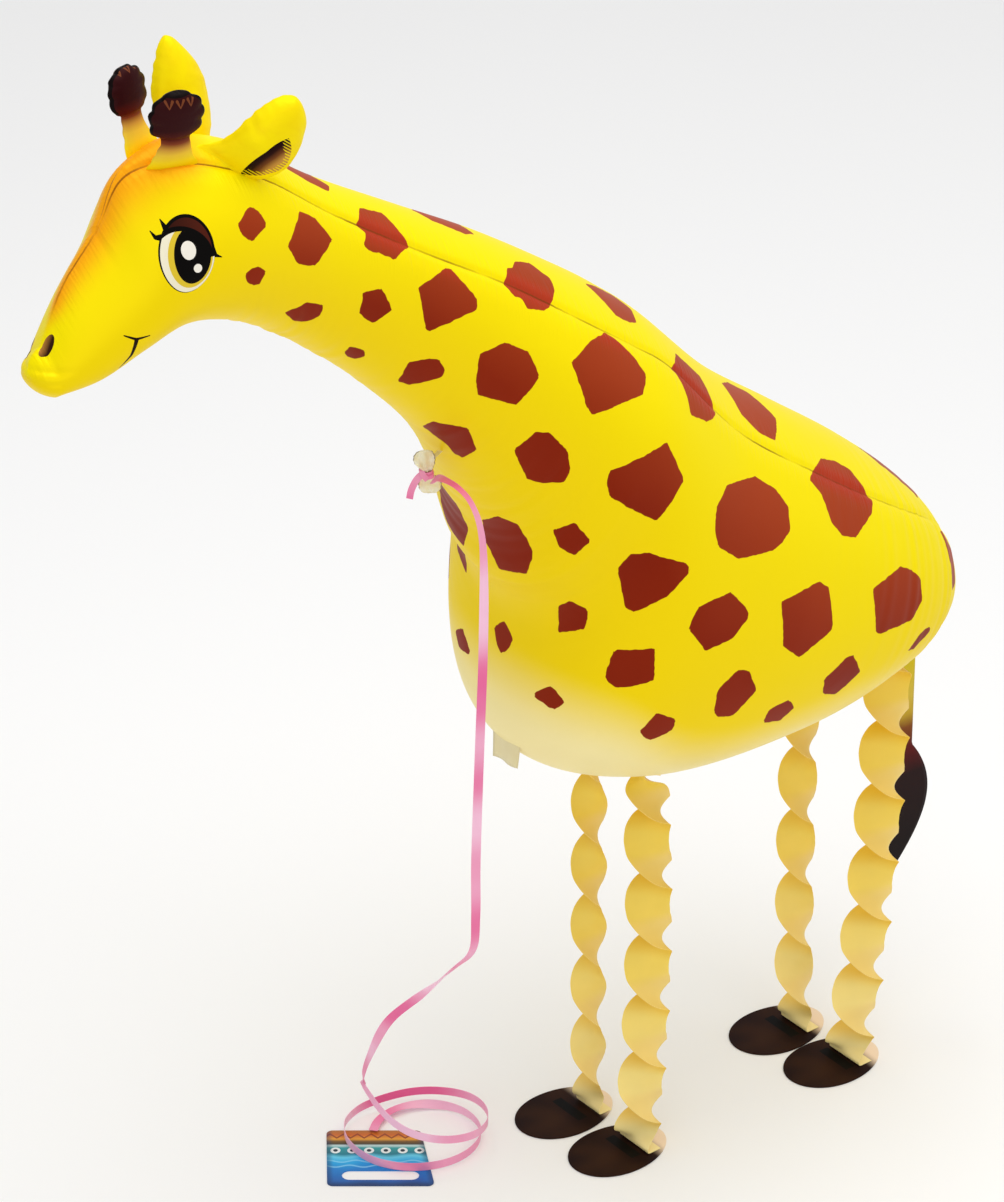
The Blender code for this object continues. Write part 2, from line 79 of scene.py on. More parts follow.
to_camera = Vector((math.sin(CAMERA_AZIMUTH) * math.cos(CAMERA_ELEVATION),
                    -math.cos(CAMERA_AZIMUTH) * math.cos(CAMERA_ELEVATION),
                    math.sin(CAMERA_ELEVATION)))
camera_data = bpy.data.cameras.new("camera")
camera_data.lens = CAMERA_LENS
camera_data.sensor_width = 36
camera_data.clip_end = 100
camera = bpy.data.objects.new("camera", camera_data)
camera.location = world_point(CAMERA_TARGET + to_camera * CAMERA_DISTANCE)
camera.rotation_euler = to_camera.to_track_quat("Z", "Y").to_euler()
bpy.context.scene.collection.objects.link(camera)
bpy.context.scene.camera = camera
bpy.context.scene.view_settings.view_transform = "Standard"


def softbox(name, place, aim, size, watts):
    """Square area light at a place in metres, aimed at a point."""
    data = bpy.data.lights.new(name, "AREA")
    data.shape = "SQUARE"
    data.size = size
    data.energy = watts
    light = bpy.data.objects.new(name, data)
    light.location = place
    light.rotation_euler = (Vector(place) - Vector(aim)).to_track_quat("Z", "Y").to_euler()
    bpy.context.scene.collection.objects.link(light)


softbox("overhead", (0.3, 0.3, 2.6), (0, 0, 0.4), 2.6, 40)
softbox("front_fill", (1.9, -2.2, 1.3), (0, 0, 0.35), 1.6, 7)

world = bpy.data.worlds.new("studio")
world.use_nodes = True
world.node_tree.nodes["Background"].inputs["Color"].default_value = (1, 1, 1, 1)
world.node_tree.nodes["Background"].inputs["Strength"].default_value = SKY_STRENGTH
bpy.context.scene.world = world

floor_mesh = bpy.data.meshes.new("floor")
half = FLOOR_SIZE / 2
floor_mesh.from_pydata([(-half, -half, 0), (half, -half, 0), (half, half, 0), (-half, half, 0)],
                       [], [(0, 1, 2, 3)])
floor = bpy.data.objects.new("floor", floor_mesh)
bpy.context.scene.collection.objects.link(floor)
floor_paint = bpy.data.materials.new("floor_paint")
floor_paint.use_nodes = True
floor_paint.node_tree.nodes["Principled BSDF"].inputs["Base Color"].default_value = (
    *FLOOR_COLOUR, 1)
floor_paint.node_tree.nodes["Principled BSDF"].inputs["Roughness"].default_value = 0.9
floor_mesh.materials.append(floor_paint)


# ---------------------------------------------------------------------------------------------
# Ribbon: pink satin curling ribbon 6 mm wide.  It leaves the knot on the valve tail, hangs
# beside the chest, swings under it and lies in loose loops that stand on edge round the tag.
RIBBON_WIDTH = 6.0
RIBBON_THICKNESS = 0.24
RIBBON_STEPS = 420
RIBBON_RUN = (
    (18.3, -249.5, 550.7), (34, -255, 560), (51, -256, 562), (62, -254, 555), (66, -250, 536),
    (66, -248, 505), (65, -248, 450), (63, -248.5, 400), (61, -249, 350), (60, -250, 300),
    (61, -251, 262), (55, -249, 234), (34, -248, 209), (-2, -246, 170), (-40, -243, 129),
    (-68, -237, 87),
)
LOOP_CENTRE = (-75, -193)
# angle in degrees from +X, radius and height of the loops, from the first turn to the tag
LOOPS = (
    (247, 38, 50), (290, 36, 33), (335, 44, 26), (375, 49, 22), (425, 42, 17), (480, 34, 12.5),
    (535, 36, 9), (585, 49, 5.5), (620, 48, 4), (685, 43, 4), (760, 41, 4), (800, 36, 4),
    (850, 29, 4), (905, 28, 4), (952, 30.5, 2.6),
)
RIBBON_FACING = (0.72, -0.56, 0.25)  # the side that the ribbon turns to the room
# share of the length, and degrees that the hanging ribbon is turned about its own line
RIBBON_TURNS = ((0, 84), (0.025, 78), (0.055, 60), (0.11, 24), (0.3, 16), (0.36, 52),
                (0.385, 62), (0.42, 10), (0.5, 0), (1, 0))
LOOPS_BEGIN = (0.445, 0.53)  # shares of the length between which the ribbon turns on its edge
END_LIES_FLAT = (0.93, 0.98)
LOOP_STEPS = 40
# the pale of the painted sheen, then the ribbon's own pink and its threads
RIBBON_SHEEN = (252, 202, 226)
RIBBON_PINK = (238, 104, 158)
RIBBON_THREAD = (222, 70, 134)
STRIP_EDGE_ANGLE = 75  # degrees between two faces from which their edge is a sharp one


def smooth_rows(rows, places):
    """Catmull-Rom values of a table of rows at fractional row numbers."""
    rows = np.asarray(rows, float)
    padded = np.vstack([2 * rows[0] - rows[1], rows, 2 * rows[-1] - rows[-2]])
    index = np.clip(np.floor(places).astype(int), 0, len(rows) - 2)
    u = (np.asarray(places, float) - index)[:, None]
    a, b, c, d = (padded[index + k] for k in range(4))
    return 0.5 * (2 * b + (c - a) * u + (2 * a - 5 * b + 4 * c - d) * u ** 2
                  + (3 * b - a - 3 * c + d) * u ** 3)


def even_path(points, count):
    """Evenly spaced points along the smooth curve through the given points."""
    fine = smooth_rows(points, np.linspace(0, len(points) - 1, 40 * (len(points) - 1) + 1))
    reach = np.concatenate([[0], np.cumsum(np.linalg.norm(np.diff(fine, axis=0), axis=1))])
    targets = np.linspace(0, reach[-1], count)
    return np.stack([np.interp(targets, reach, fine[:, k]) for k in range(3)], axis=1)


def unit(vectors):
    """The given vectors at unit length."""
    return vectors / np.maximum(np.linalg.norm(vectors, axis=-1, keepdims=True), 1e-9)


def new_piece(name, points, faces, material, smooth_angle=None):
    """Mesh object from faces and points in the layout's millimetres."""
    points = np.asarray(points, float) * MM + np.array(LAYOUT_POINT)
    mesh = bpy.data.meshes.new(name)
    mesh.from_pydata([tuple(p) for p in points], [], [tuple(f) for f in faces])
    mesh.validate()
    mesh.materials.append(material)
    mesh.shade_smooth()
    if smooth_angle is not None:
        mesh.set_sharp_from_angle(angle=math.radians(smooth_angle))
    piece = bpy.data.objects.new(name, mesh)
    bpy.context.scene.collection.objects.link(piece)
    return piece


def turn_outward(piece):
    """Make the faces of a closed mesh point outwards."""
    bm = bmesh.new()
    bm.from_mesh(piece.data)
    bmesh.ops.recalc_face_normals(bm, faces=bm.faces)
    bm.to_mesh(piece.data)
    bm.free()


def store(piece, name, values):
    """Point attribute of numbers or of directions on a piece's mesh."""
    values = np.asarray(values, float)
    kind, field = ("FLOAT_VECTOR", "vector") if values.ndim == 2 else ("FLOAT", "value")
    layer = piece.data.attributes.new(name, kind, "POINT")
    layer.data.foreach_set(field, values.ravel())


def add_node(tree, kind, inputs=None, **settings):
    """One node; an input given as a socket is linked, and anything else is its value."""
    made = tree.nodes.new(kind)
    for name, value in settings.items():
        setattr(made, name, value)
    for key, value in (inputs or {}).items():
        if isinstance(value, bpy.types.NodeSocket):
            tree.links.new(value, made.inputs[key])
        else:
            made.inputs[key].default_value = value
    return made


def calculate(tree, operation, *values, clamp=False):
    """Result socket of a math node."""
    made = add_node(tree, "ShaderNodeMath", dict(enumerate(values)), operation=operation)
    made.use_clamp = clamp
    return made.outputs[0]


def times(tree, first, second):
    """Product of two values; of two masks, it is 1 where both are."""
    return calculate(tree, "MULTIPLY", first, second)


def stored(tree, name):
    """Number that a piece's points carry under a name."""
    return add_node(tree, "ShaderNodeAttribute", attribute_name=name).outputs["Fac"]


def ink(red, green, blue):
    """Linear colour of an ink given by its display values from 0 to 255."""
    shares = [c / 255 for c in (red, green, blue)]
    return tuple(c / 12.92 if c <= 0.04045 else ((c + 0.055) / 1.055) ** 2.4
                 for c in shares) + (1.0,)


def mix_colours(tree, share, first, second):
    """Colour socket between two colours, each of them a socket or a value."""
    made = add_node(tree, "ShaderNodeMix", data_type="RGBA")
    for socket, value in ((made.inputs[0], share), (made.inputs[6], first),
                          (made.inputs[7], second)):
        if isinstance(value, bpy.types.NodeSocket):
            tree.links.new(value, socket)
        else:
            socket.default_value = value
    return made.outputs[2]


def ramp(tree, value, low, high, smooth=False):
    """0 below low, 1 above high."""
    made = add_node(tree, "ShaderNodeMapRange", {"Value": value, "From Min": low, "From Max": high})
    made.interpolation_type = "SMOOTHSTEP" if smooth else "LINEAR"
    made.clamp = True
    return made.outputs["Result"]


def new_material(name, roughness, **constants):
    """Material with its Principled shader's constants set; returns it, its tree and shader."""
    material = bpy.data.materials.new(name)
    material.use_nodes = True
    shader = material.node_tree.nodes["Principled BSDF"]
    shader.inputs["Roughness"].default_value = roughness
    for key, value in constants.items():
        shader.inputs[key.replace("_", " ")].default_value = value
    return material, material.node_tree, shader


def satin_ribbon():
    """Pink satin with a painted sheen that pales and deepens it along its length, with fine threads
    along it.
    """
    material, tree, shader = new_material("pink_satin", 0.34)
    shader.inputs["Specular IOR Level"].default_value = 0.25
    reach = stored(tree, "reach")
    line = add_node(tree, "ShaderNodeCombineXYZ", {0: reach}).outputs[0]
    slow = add_node(tree, "ShaderNodeTexNoise", {"Vector": line, "Scale": 0.013, "Detail": 1.0})
    thread = add_node(tree, "ShaderNodeCombineXYZ", {0: times(tree, reach, 0.03),
                                                     1: times(tree, stored(tree, "side"), 6.0)})
    weave = add_node(tree, "ShaderNodeTexNoise", {"Vector": thread.outputs[0], "Scale": 4.0})
    # painted sheen: pale stretches along the ribbon stand in for the light that the satin catches
    painted_sheen = ramp(tree, slow.outputs["Fac"], 0.36, 0.64, smooth=True)
    colour = mix_colours(tree, painted_sheen, ink(*RIBBON_PINK), ink(*RIBBON_SHEEN))
    colour = mix_colours(tree, times(tree, weave.outputs["Fac"], 0.12), colour,
                         ink(*RIBBON_THREAD))
    bump = add_node(tree, "ShaderNodeBump", {"Height": weave.outputs["Fac"], "Strength": 0.1,
                                             "Distance": 0.0002})
    tree.links.new(colour, shader.inputs["Base Color"])
    tree.links.new(bump.outputs[0], shader.inputs["Normal"])
    return material


def twisted_strip_tree():
    """Geometry nodes for a flat strip that follows a path and turns about it.

    The path's points carry "turn", the angle of the strip about its line, "aside", how far it
    lies to one side, "held", how far glue or a fold holds it, "held_across", the way across it
    where it is held, "reach", the millimetres run, and "phase" for its colours.
    """
    tree = bpy.data.node_groups.new("twisted_strip", "GeometryNodeTree")
    tree.interface.new_socket("Geometry", in_out="INPUT", socket_type="NodeSocketGeometry")
    for name, value in (("Half Width", 0.003), ("Facing", 0.0)):
        made = tree.interface.new_socket(name, in_out="INPUT", socket_type="NodeSocketFloat")
        made.default_value = value
    columns = tree.interface.new_socket("Columns", in_out="INPUT", socket_type="NodeSocketInt")
    columns.default_value = 2
    tree.interface.new_socket("Material", in_out="INPUT", socket_type="NodeSocketMaterial")
    tree.interface.new_socket("Geometry", in_out="OUTPUT", socket_type="NodeSocketGeometry")
    given = add_node(tree, "NodeGroupInput").outputs
    path = given["Geometry"]
    rows = add_node(tree, "GeometryNodeAttributeDomainSize", {0: path}, component="MESH").outputs[0]
    lines = calculate(tree, "ADD", given["Columns"], 1.0)
    grid = add_node(tree, "GeometryNodeMeshGrid", {"Size X": 1.0, "Size Y": 2.0, "Vertices X": rows,
                                                   "Vertices Y": lines})
    index = add_node(tree, "GeometryNodeInputIndex").outputs[0]
    row = calculate(tree, "FLOOR", calculate(tree, "DIVIDE", calculate(tree, "ADD", index, 0.5),
                                             lines))
    place = add_node(tree, "GeometryNodeInputPosition").outputs[0]
    side = add_node(tree, "ShaderNodeSeparateXYZ", {0: place}).outputs[1]

    def from_path(name, kind="FLOAT"):
        """Value of the path at this row of the strip."""
        value = place
        if name != "position":
            value = add_node(tree, "GeometryNodeInputNamedAttribute", {"Name": name},
                             data_type=kind).outputs[0]
        return add_node(tree, "GeometryNodeSampleIndex", {0: path, 1: value, 2: row},
                        data_type=kind, domain="POINT").outputs[0]

    angle = calculate(tree, "ADD", given["Facing"], from_path("turn"))
    free = add_node(tree, "ShaderNodeCombineXYZ", {0: calculate(tree, "COSINE", angle),
                                                   1: calculate(tree, "SINE", angle)})
    across = add_node(tree, "ShaderNodeMix", data_type="VECTOR")
    tree.links.new(from_path("held"), across.inputs[0])
    tree.links.new(free.outputs[0], across.inputs[4])
    tree.links.new(from_path("held_across", "FLOAT_VECTOR"), across.inputs[5])
    reach_aside = times(tree, side, given["Half Width"])
    step = add_node(tree, "ShaderNodeVectorMath", {0: across.outputs[1], "Scale": reach_aside},
                    operation="SCALE").outputs[0]
    sideways = times(tree, from_path("aside"), given["Half Width"])
    aside = add_node(tree, "ShaderNodeCombineXYZ", {
        0: times(tree, sideways, calculate(tree, "COSINE", given["Facing"])),
        1: times(tree, sideways, calculate(tree, "SINE", given["Facing"]))})
    moved = from_path("position", "FLOAT_VECTOR")
    for part in (step, aside.outputs[0]):
        moved = add_node(tree, "ShaderNodeVectorMath", {0: moved, 1: part}, operation="ADD").outputs[0]
    shape = add_node(tree, "GeometryNodeSetPosition", {"Geometry": grid.outputs["Mesh"],
                                                       "Position": moved}).outputs[0]
    for name, value in (("phase", from_path("phase")), ("reach", from_path("reach")),
                        ("side", side)):
        shape = add_node(tree, "GeometryNodeStoreNamedAttribute",
                         {"Geometry": shape, "Name": name, "Value": value}).outputs[0]
    shape = add_node(tree, "GeometryNodeRealizeInstances", {0: shape}).outputs[0]
    shape = add_node(tree, "GeometryNodeSetMaterial", {"Geometry": shape, "Material":
                                                       given["Material"]}).outputs[0]
    tree.links.new(shape, add_node(tree, "NodeGroupOutput").inputs[0])
    return tree


def strip_along(name, centres, held_across, material, thickness, half_width, held=None,
                turn=None, aside=None, phase=None, columns=2, facing=0.0):
    """Piece made by the strip tree on a path in the layout's millimetres.

    What the path's points carry is given row by row; a path is held all along it, and has no
    turn, no shift aside and no phase, unless it is told otherwise.
    """
    count = len(centres)
    piece = new_piece(name, centres, [], material)
    piece.data.edges.add(count - 1)
    piece.data.edges.foreach_set("vertices", [i + k for i in range(count - 1) for k in (0, 1)])
    steps = np.linalg.norm(np.diff(centres, axis=0), axis=1)
    store(piece, "reach", np.concatenate([[0], np.cumsum(steps)]))
    store(piece, "held", np.ones(count) if held is None else held)
    store(piece, "held_across", held_across)
    for key, values in (("turn", turn), ("aside", aside), ("phase", phase)):
        store(piece, key, np.zeros(count) if values is None else values)
    modifier = piece.modifiers.new("strip", "NODES")
    modifier.node_group = strip_tree
    sizes = {"Half Width": half_width * MM, "Columns": columns, "Facing": facing,
             "Material": material}
    for socket in strip_tree.interface.items_tree:
        if socket.in_out == "INPUT" and socket.name in sizes:
            modifier[socket.identifier] = sizes[socket.name]
    thicken(piece, thickness)
    for face in piece.data.polygons:
        face.use_smooth = True
    piece.data.set_sharp_from_angle(angle=math.radians(STRIP_EDGE_ANGLE))
    return piece


def thicken(piece, thickness):
    """Give an open sheet a thickness in millimetres, and apply its modifiers."""
    modifier = piece.modifiers.new("thickness", "SOLIDIFY")
    modifier.thickness = thickness * MM
    modifier.offset = 0
    depsgraph = bpy.context.evaluated_depsgraph_get()
    solid = bpy.data.meshes.new_from_object(piece.evaluated_get(depsgraph))
    piece.modifiers.clear()
    piece.data = solid
    turn_outward(piece)


loop_turns = even_path(LOOPS, LOOP_STEPS)
loop_points = [(LOOP_CENTRE[0] + r * math.cos(math.radians(a)),
                LOOP_CENTRE[1] + r * math.sin(math.radians(a)), z) for a, r, z in loop_turns]
ribbon_path = even_path(np.vstack([RIBBON_RUN, loop_points]), RIBBON_STEPS)
tangents = unit(np.gradient(ribbon_path, axis=0))
shares = np.linspace(0, 1, RIBBON_STEPS)


def across_line(directions):
    """The given directions, made square to the ribbon's line."""
    return unit(directions - tangents * (directions * tangents).sum(axis=1, keepdims=True))


def eased(value, low, high):
    """Column of shares that rise softly from 0 at low to 1 at high."""
    share = np.clip((value - low) / (high - low), 0, 1)
    return (share * share * (3 - 2 * share))[:, None]


facing = across_line(np.tile(RIBBON_FACING, (RIBBON_STEPS, 1)))
turned = np.radians(np.interp(shares, *zip(*RIBBON_TURNS)))[:, None]
hanging = np.cos(turned) * np.cross(tangents, facing) + np.sin(turned) * facing
standing = across_line(np.tile((0.0, 0.0, 1.0), (RIBBON_STEPS, 1)))
lying = np.cross(tangents, standing)
meeting = int(RIBBON_STEPS * sum(LOOPS_BEGIN) / 2)
standing *= np.sign((hanging[meeting] * standing[meeting]).sum())
on_edge = eased(shares, *LOOPS_BEGIN)
flat = eased(shares, *END_LIES_FLAT)
ribbon_widths = across_line(hanging * (1 - on_edge) + standing * on_edge)
ribbon_widths = across_line(ribbon_widths * (1 - flat) + lying * flat)
strip_tree = twisted_strip_tree()
pink_satin = satin_ribbon()
ribbon = strip_along("satin_ribbon", ribbon_path, ribbon_widths, pink_satin, RIBBON_THICKNESS,
                     RIBBON_WIDTH / 2)
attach(ribbon, "root")
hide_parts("ribbon")


# ---------------------------------------------------------------------------------------------
# Envelope: two printed foil side panels with a narrow gusset along the back, heat-sealed along
# their seams and blown up tight.  One closed skin; the seams are grooves with fine puckers.
STATIONS = (
    # top y, top z, bottom y, bottom z, half width, narrowing to a ridge on top
    (-511.5, 717, -510, 686.5, 21, 0.72),
    (-495, 751, -483, 689, 33, 0.80),
    (-472, 779, -456, 700, 42.5, 0.76),
    (-454, 809, -427, 708, 49, 0.68),
    (-417, 819, -396, 701, 50, 0.42),
    (-372, 802, -367, 686, 46, 0.20),
    (-321, 766, -334, 662, 43, 0.08),
    (-260, 729, -291, 624, 47, 0.05),
    (-200, 693, -242, 569, 60, 0.05),
    (-140, 652, -207, 502, 80, 0.05),
    (-112, 631, -198, 465, 89, 0.05),
    (-84, 607, -181, 430, 96, 0.05),
    (-29, 551, -183, 339, 110, 0.05),
    (30, 506, -112, 293, 114, 0.05),
    (84, 465, -5, 285, 106, 0.05),
    (127, 426, 68, 296, 90, 0.05),
    (153, 390, 104, 307, 68, 0.03),
    (159, 358, 131, 313, 45, 0.00),
)
# length of the rounded ends, and the slope in degrees with which they take over from the sides
SNOUT_CAP = 11
SNOUT_CAP_START = 24
RUMP_CAP = 18
RUMP_CAP_START = 35
RING_SPACING = 2.35
CAP_RINGS = 14
GUSSET_COLUMNS = 26
PANEL_COLUMNS = 92
CROWDING = 1.25  # power that draws the columns together beside the seam
SMALLEST_SCALE = 0.004  # of the last ring at each tip
# how far the back seam lies from the top of each section, in degrees
BACK_SEAM = (1, 2, 5, 14, 33, 39, 43, 46, 44, 41, 38, 36, 35, 36, 39, 38, 32, 20)


def section_points(places, shifts, scales, angles):
    """Grid of skin points: one ring for each place, with its own shift, scale and angles."""
    top_y, top_z, bottom_y, bottom_z, half_width, ridge = smooth_rows(STATIONS, places).T
    centre = np.stack([0 * top_y, (top_y + bottom_y) / 2, (top_z + bottom_z) / 2], axis=1)
    rise = np.stack([0 * top_y, (top_y - bottom_y) / 2, (top_z - bottom_z) / 2], axis=1)
    along = unit(np.stack([0 * top_y, rise[:, 2], -rise[:, 1]], axis=1))
    narrowing = 1 - ridge[:, None] * ((1 + np.cos(angles)) / 2) ** 2
    side = half_width[:, None] * np.sin(angles) * narrowing
    grid = (centre + along * shifts[:, None])[:, None, :] + np.cos(angles)[:, :, None] * (
        rise * scales[:, None])[:, None, :]
    grid[:, :, 0] += side * scales[:, None]
    return grid


def rounded_end(length, start_degrees):
    """Shifts and scales of the rings of a rounded end, from its foot to its tip."""
    start = math.radians(start_degrees)
    turn = np.linspace(start, math.pi / 2, CAP_RINGS + 1)[1:]
    return (length * (np.sin(turn) - math.sin(start)) / (1 - math.sin(start)),
            np.cos(turn) / math.cos(start))


# rings: the snout's cap, the stations and the rump's cap
snout_shifts, snout_scales = rounded_end(SNOUT_CAP, SNOUT_CAP_START)
rump_shifts, rump_scales = rounded_end(RUMP_CAP, RUMP_CAP_START)
fine_places = np.linspace(0, len(STATIONS) - 1, 2000)
middle = smooth_rows(STATIONS, fine_places)[:, :4]
steps = np.abs(np.diff(middle, axis=0))
travel = np.concatenate([[0], np.cumsum(0.5 * (np.hypot(steps[:, 0], steps[:, 1])
                                               + np.hypot(steps[:, 2], steps[:, 3])))])
ring_count = int(travel[-1] / RING_SPACING)
ring_places = np.interp(np.linspace(0, travel[-1], ring_count), travel, fine_places)
places = np.concatenate([np.zeros(CAP_RINGS), ring_places,
                         np.full(CAP_RINGS, len(STATIONS) - 1.0)])
shifts = np.concatenate([-snout_shifts[::-1], np.zeros(ring_count), rump_shifts])
scales = np.concatenate([snout_scales[::-1], np.ones(ring_count), rump_scales])
scales = np.maximum(scales, SMALLEST_SCALE)

# columns: evenly over the gusset and the panels, closer together beside the seam
seam_angle = np.radians(smooth_rows(np.array(BACK_SEAM)[:, None], places)[:, 0])
gusset_share = 1 - np.linspace(1, 0, GUSSET_COLUMNS + 1) ** CROWDING
panel_share = np.linspace(0, 1, PANEL_COLUMNS + 1)[1:] ** CROWDING
half_angles = np.concatenate([seam_angle[:, None] * gusset_share,
                              seam_angle[:, None] + (math.pi - seam_angle[:, None]) * panel_share],
                             axis=1)
left = section_points(places, shifts, scales, half_angles)
half_columns = left.shape[1]
ring_total = len(places)

# distances on the skin: down from the seam, and along the seam from the snout
around = np.concatenate([np.zeros((ring_total, 1)),
                         np.cumsum(np.linalg.norm(np.diff(left, axis=1), axis=2), axis=1)], axis=1)
from_seam = around - around[:, GUSSET_COLUMNS:GUSSET_COLUMNS + 1]
seam_line = left[:, GUSSET_COLUMNS]
along_seam = np.concatenate([[0], np.cumsum(np.linalg.norm(np.diff(seam_line, axis=0), axis=1))])
outward = unit(np.cross(np.gradient(left, axis=0), np.gradient(left, axis=1)))
if outward[ring_total // 2, half_columns // 2, 0] < 0:
    outward = -outward
outward[:, 0, 0] = 0
outward[:, -1, 0] = 0
outward = unit(outward)


def uneven_wave(distance, lengths, seed):
    """Wave of about unit height whose crests are unevenly spaced."""
    draw = np.random.default_rng(seed)
    total = 0
    for length in lengths:
        total = total + np.sin(2 * np.pi * distance / length + draw.uniform(0, 2 * np.pi))
    return total / math.sqrt(len(lengths))


def bell(value, width):
    """1 at zero, falling away softly over the width."""
    return np.exp(-(value / width) ** 2)


# the relief of the foil, in millimetres
SEAM_DEPTH = 1.5
SEAM_WIDTH = 2.6
PUCKER_HEIGHT = 0.7
PUCKER_REACH = 12
SWELL_HEIGHT = 0.5
RUMP_RIPPLE = 0.42
THROAT_CREASE = 0.5
CHEST_CREASE = 0.35
MUZZLE_FOLDS = ((706.5, 1.3), (699.5, 1.1), (691.0, 1.2))  # height and depth of each
MUZZLE_FOLD_WIDTH = 1.7
MUZZLE_TIP = -513
NOSE_TUCK = 0.8
FOREHEAD_TUCK = 1.0
CHEST_PULL = 0.7
BELLY_PULL = 0.5
station = places[:, None] + 0 * from_seam
travel_along = along_seam[:, None] + 0 * from_seam
degrees = np.degrees(half_angles)
# puckers run away from the seam, strongest on the nose and the rump
pucker = uneven_wave(travel_along + 0.15 * np.abs(from_seam), (6.3, 8.1, 11.7, 17.0), 3)
strength = np.interp(station, (0, 1, 3.5, 5, 8, 12, 15, 17),
                     (0.16, 0.42, 0.38, 0.34, 0.22, 0.2, 0.42, 0.3))
gather = 0.6 + 0.4 * uneven_wave(travel_along, (37, 61), 5)
seam_share = np.interp(station, (0, 0.8, 1.6, 14, 15.5), (0, 0.1, 1, 1, 0.3))
relief = -SEAM_DEPTH * bell(from_seam, SEAM_WIDTH) * seam_share
relief += PUCKER_HEIGHT * strength * gather * pucker * np.exp(-np.abs(from_seam) / PUCKER_REACH)
# the sides swell a little between the seam and the belly
relief += SWELL_HEIGHT * bell(from_seam - 12, 9) * np.interp(station, (0, 1.5, 16, 17), (0, 1, 1, 0))
# the rump is gathered: ripples run round it
rump = bell(station - 15.3, 1.4) * bell(from_seam - 30, 75)
relief += RUMP_RIPPLE * rump * uneven_wave(travel_along, (9.0, 11.5, 14.0), 8)
# creases round the throat, across the chest and under the jaw
throat = bell(station - 5.4, 1.3) * bell(degrees - 165, 38)
relief += THROAT_CREASE * throat * uneven_wave(travel_along, (13.0, 17.0, 24.0), 11)
chest = bell(station - 9.2, 1.5) * bell(degrees - 145, 40)
relief += CHEST_CREASE * chest * uneven_wave(travel_along, (8.0, 12.0, 15.0), 13)
# the muzzle: soft level folds at its tip, then a tuck between the forehead and the nose
tip_only = bell(np.minimum(left[:, :, 1] - MUZZLE_TIP, 60), 9) * bell(degrees - 40, 70)
for fold_height, fold_depth in MUZZLE_FOLDS:
    relief -= fold_depth * bell(left[:, :, 2] - fold_height, MUZZLE_FOLD_WIDTH) * tip_only
relief -= NOSE_TUCK * bell(station - 1.93, 0.06) * bell(from_seam - 8, 14)
relief -= FOREHEAD_TUCK * bell(station - 3.5, 0.06) * bell(from_seam, 9)
# long shallow creases that the puffed chest pulls into the belly
pull_line = station - 11.72 - 0.002 * (165 - degrees)
relief -= CHEST_PULL * bell(pull_line, 0.06) * bell(degrees - 172, 24)
relief -= BELLY_PULL * bell(station - 12.6, 0.05) * bell(degrees - 132, 12)
left = left + outward * relief[:, :, None]


